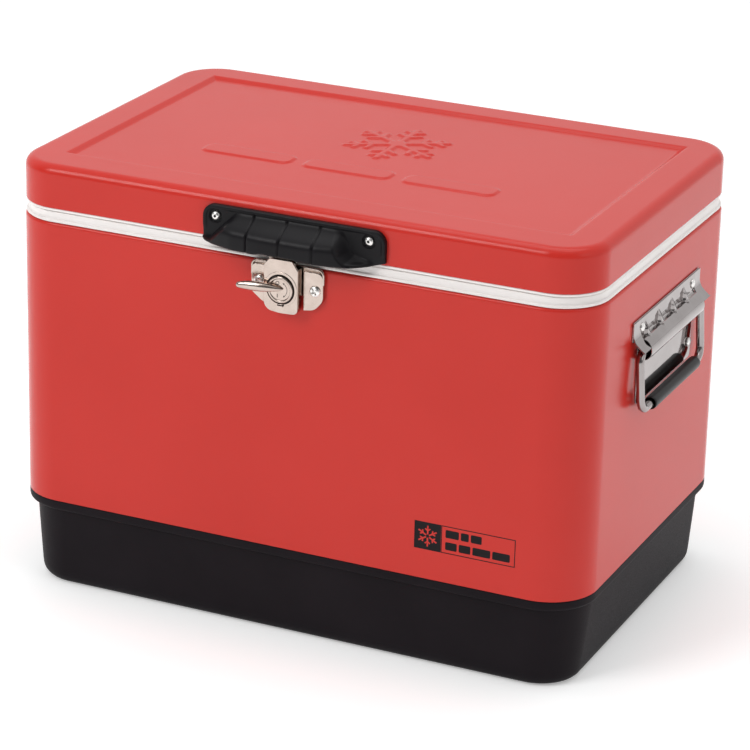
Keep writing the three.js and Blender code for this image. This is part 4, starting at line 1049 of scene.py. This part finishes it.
# cap: turned disc with a ribbed rim and a pull lug
n = 96
def ribbed(r, k, amp):
    return r - (amp if (k % 6) in (0, 1) else 0.0)
rows = [(5.6, 291.0, 0), (5.7, 291.6, 0), (5.7, 298.15, 0), (11.6, 298.15, 0), (12.0, 298.5, .5), (12.0, 300.3, .5), (11.6, 300.9, .3), (11.0, 301.1, 0), (8.2, 301.1, 0), (7.8, 300.7, 0)]
V, F = [], []
for r, w, a in rows:
    V += [out_l(ribbed(r, k, a) * math.cos(2 * math.pi * k / n), DZ0 + ribbed(r, k, a) * math.sin(2 * math.pi * k / n), w) for k in range(n)]
for j in range(len(rows) - 1):
    for i in range(n):
        F.append((j * n + i, j * n + (i + 1) % n, (j + 1) * n + (i + 1) % n, (j + 1) * n + i))
V.append(out_l(0, DZ0, 291.0)); V.append(out_l(0, DZ0, 300.7))
for i in range(n):
    F.append(((i + 1) % n, i, len(V) - 2)); F.append(((len(rows) - 1) * n + i, (len(rows) - 1) * n + (i + 1) % n, len(V) - 1))
lug = slab_data(round_poly([(-4, 75), (4, 75), (4, 79), (-4, 79)], [0, 0, 1.5, 1.5]), 298.15, 300.6, out_l, 0.4)
make("drain_cap_moulding", *join_data((V, F), lug), MAT["black"], "drain_cap", sharp=38, cad=("drain_cap",), slot="black_plastic")

# ------------------------------------------------------------------ printed badge on the front, low right
def badge():
    y0, y1 = 197.02, 197.14
    parts = []
    bx0, bx1, z0, z1 = 134.8, 162.0, 122.6, 150.4
    cx, cz = (bx0 + bx1) / 2, (z0 + z1) / 2
    holes = []
    for k in range(6):
        a = math.radians(60 * k + 30)
        c, s = math.cos(a), math.sin(a)
        q = lambda r, t: (cx + r * c - t * s, cz + r * s + t * c)
        hw = 0.75
        holes.append([q(1.7, -hw), q(5.2, -hw), q(7.0, -3.1), q(8.0, -2.1), q(6.9, -hw), q(10.6, -hw), q(10.6, hw), q(6.9, hw), q(8.0, 2.1), q(7.0, 3.1), q(5.2, hw), q(1.7, hw)])
    parts.append(slab_data([(bx0, z0), (bx1, z0), (bx1, z1), (bx0, z1)], y0, y1, front, 0.03, holes=holes, seg=1))
    fx1 = 236.8
    parts.append(slab_data([(bx1 + 0.2, z0), (fx1, z0), (fx1, z1), (bx1 + 0.2, z1)], y0, y1, front, 0.03, holes=[[(bx1 + 1.0, z0 + 0.9), (fx1 - 0.9, z0 + 0.9), (fx1 - 0.9, z1 - 0.9), (bx1 + 1.0, z1 - 0.9)]], seg=1))
    for a, b, c, d in ((166.5, 180.0, 138.6, 146.6), (182.0, 190.0, 138.6, 146.6), (192.0, 203.0, 138.6, 146.6), (166.5, 178.2, 126.4, 134.4), (180.2, 192.0, 126.4, 134.4), (194.0, 212.0, 126.4, 134.4), (214.0, 231.6, 126.4, 134.4)):
        parts.append(slab_data(round_poly([(a, c), (b, c), (b, d), (a, d)], 1.2, 3), y0, y1, front, 0.03, seg=1))
    return join_data(*parts)
make("front_badge_print", *badge(), MAT["print"], "chest", weighted=False, slot="black_plastic")

#END#



# ------------------------------------------------------------------ carried CAD nodes get finishes
CARRY = {"body_insulation": "foam", "lid_insulation": "foam", "latch_cam": "steel_satin", "latch_pin": "steel"}
for n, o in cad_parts.items():
    if o.hide_render:
        continue
    key = CARRY.get(n, "steel")
    if key == "steel" and ("screw" in n or "rivet" in n): key = "screw"
    if n in ("front_handle",) or "grip" in n: key = "black"
    if n.startswith("drain"): key = "white"
    if n in ("keeper_plate", "latch_strap", "latch_disc", "latch_lever", "latch_bracket"): key = "nickel"
    o.data.materials.clear()
    o.data.materials.append(MAT[key])

# ------------------------------------------------------------------ stage and light
def plane(name, cx, cy, cz, sx, sy, mat):
    me = bpy.data.meshes.new(name)
    me.from_pydata([(-sx, -sy, 0), (sx, -sy, 0), (sx, sy, 0), (-sx, sy, 0)], [], [(0, 1, 2, 3)])
    ob = bpy.data.objects.new(name, me)
    ob.location = (cx, cy, cz)
    me.materials.append(mat)
    scene.collection.objects.link(ob)
    return ob

WORLD_HI, WORLD_LO, FLOOR_GLOW = 0.80, 0.14, 0.30

def build_stage():
    m, nt, b, co = new_mat("pale_floor")
    n1 = noise(nt, co, 2.0, 2)
    c = ramp(nt, n1.outputs[0], [(0.3, (0.88, 0.88, 0.88)), (0.7, (0.90, 0.90, 0.90))])
    nt.links.new(c.outputs[0], b.inputs["Base Color"])
    b.inputs["Roughness"].default_value = 0.9
    b.inputs["Specular IOR Level"].default_value = 0.0
    b.inputs["Emission Color"].default_value = (1, 1, 1, 1)
    b.inputs["Emission Strength"].default_value = FLOOR_GLOW
    floor = plane("floor", 0, 0, 0, 14, 14, m)
    w = bpy.data.worlds.new("studio")
    scene.world = w
    w.use_nodes = True
    nt = w.node_tree
    tc = nt.nodes.new("ShaderNodeTexCoord")
    sp = nt.nodes.new("ShaderNodeSeparateXYZ")
    nt.links.new(tc.outputs["Generated"], sp.inputs[0])
    fwd = mrange(nt, sp.outputs["Y"], 1.0, 0.0, -0.45, 0.05)       # 1 towards the front
    low = mrange(nt, sp.outputs["Z"], 1.0, 0.0, 0.70, 0.86)        # 1 below the overhead panel
    mul = nt.nodes.new("ShaderNodeMath"); mul.operation = "MULTIPLY"
    nt.links.new(fwd.outputs[0], mul.inputs[0]); nt.links.new(low.outputs[0], mul.inputs[1])
    lvl = mrange(nt, mul.outputs[0], WORLD_HI, WORLD_LO, 0.0, 1.0)
    nt.links.new(lvl.outputs[0], nt.nodes["Background"].inputs[1])
    nt.nodes["Background"].inputs[0].default_value = (1, 1, 1, 1)
    def area(name, loc, aim, sx, sy, power, spread=180):
        l = bpy.data.lights.new(name, "AREA")
        l.shape, l.size, l.size_y, l.energy = "RECTANGLE", sx, sy, power
        l.spread = math.radians(spread)
        o = bpy.data.objects.new(name, l)
        o.location = loc
        d = Vector(aim) - Vector(loc)
        o.rotation_euler = d.to_track_quat("-Z", "Y").to_euler()
        scene.collection.objects.link(o)
        return o
    area("key", (-1.6, -2.6, 2.6), (0, 0, 0.2), 1.6, 1.6, 55)
    area("fill", (3.0, -1.0, 1.8), (0, 0, 0.2), 1.6, 1.6, 6)
    area("top", (0, 0.2, 3.2), (0, 0, 0.4), 2.4, 2.0, 26)
    scene.view_settings.view_transform = "Standard"
    scene.view_settings.look = "None"
    scene.view_settings.exposure = 0
    scene.view_settings.gamma = 1

build_stage()

bpy.context.view_layer.update()
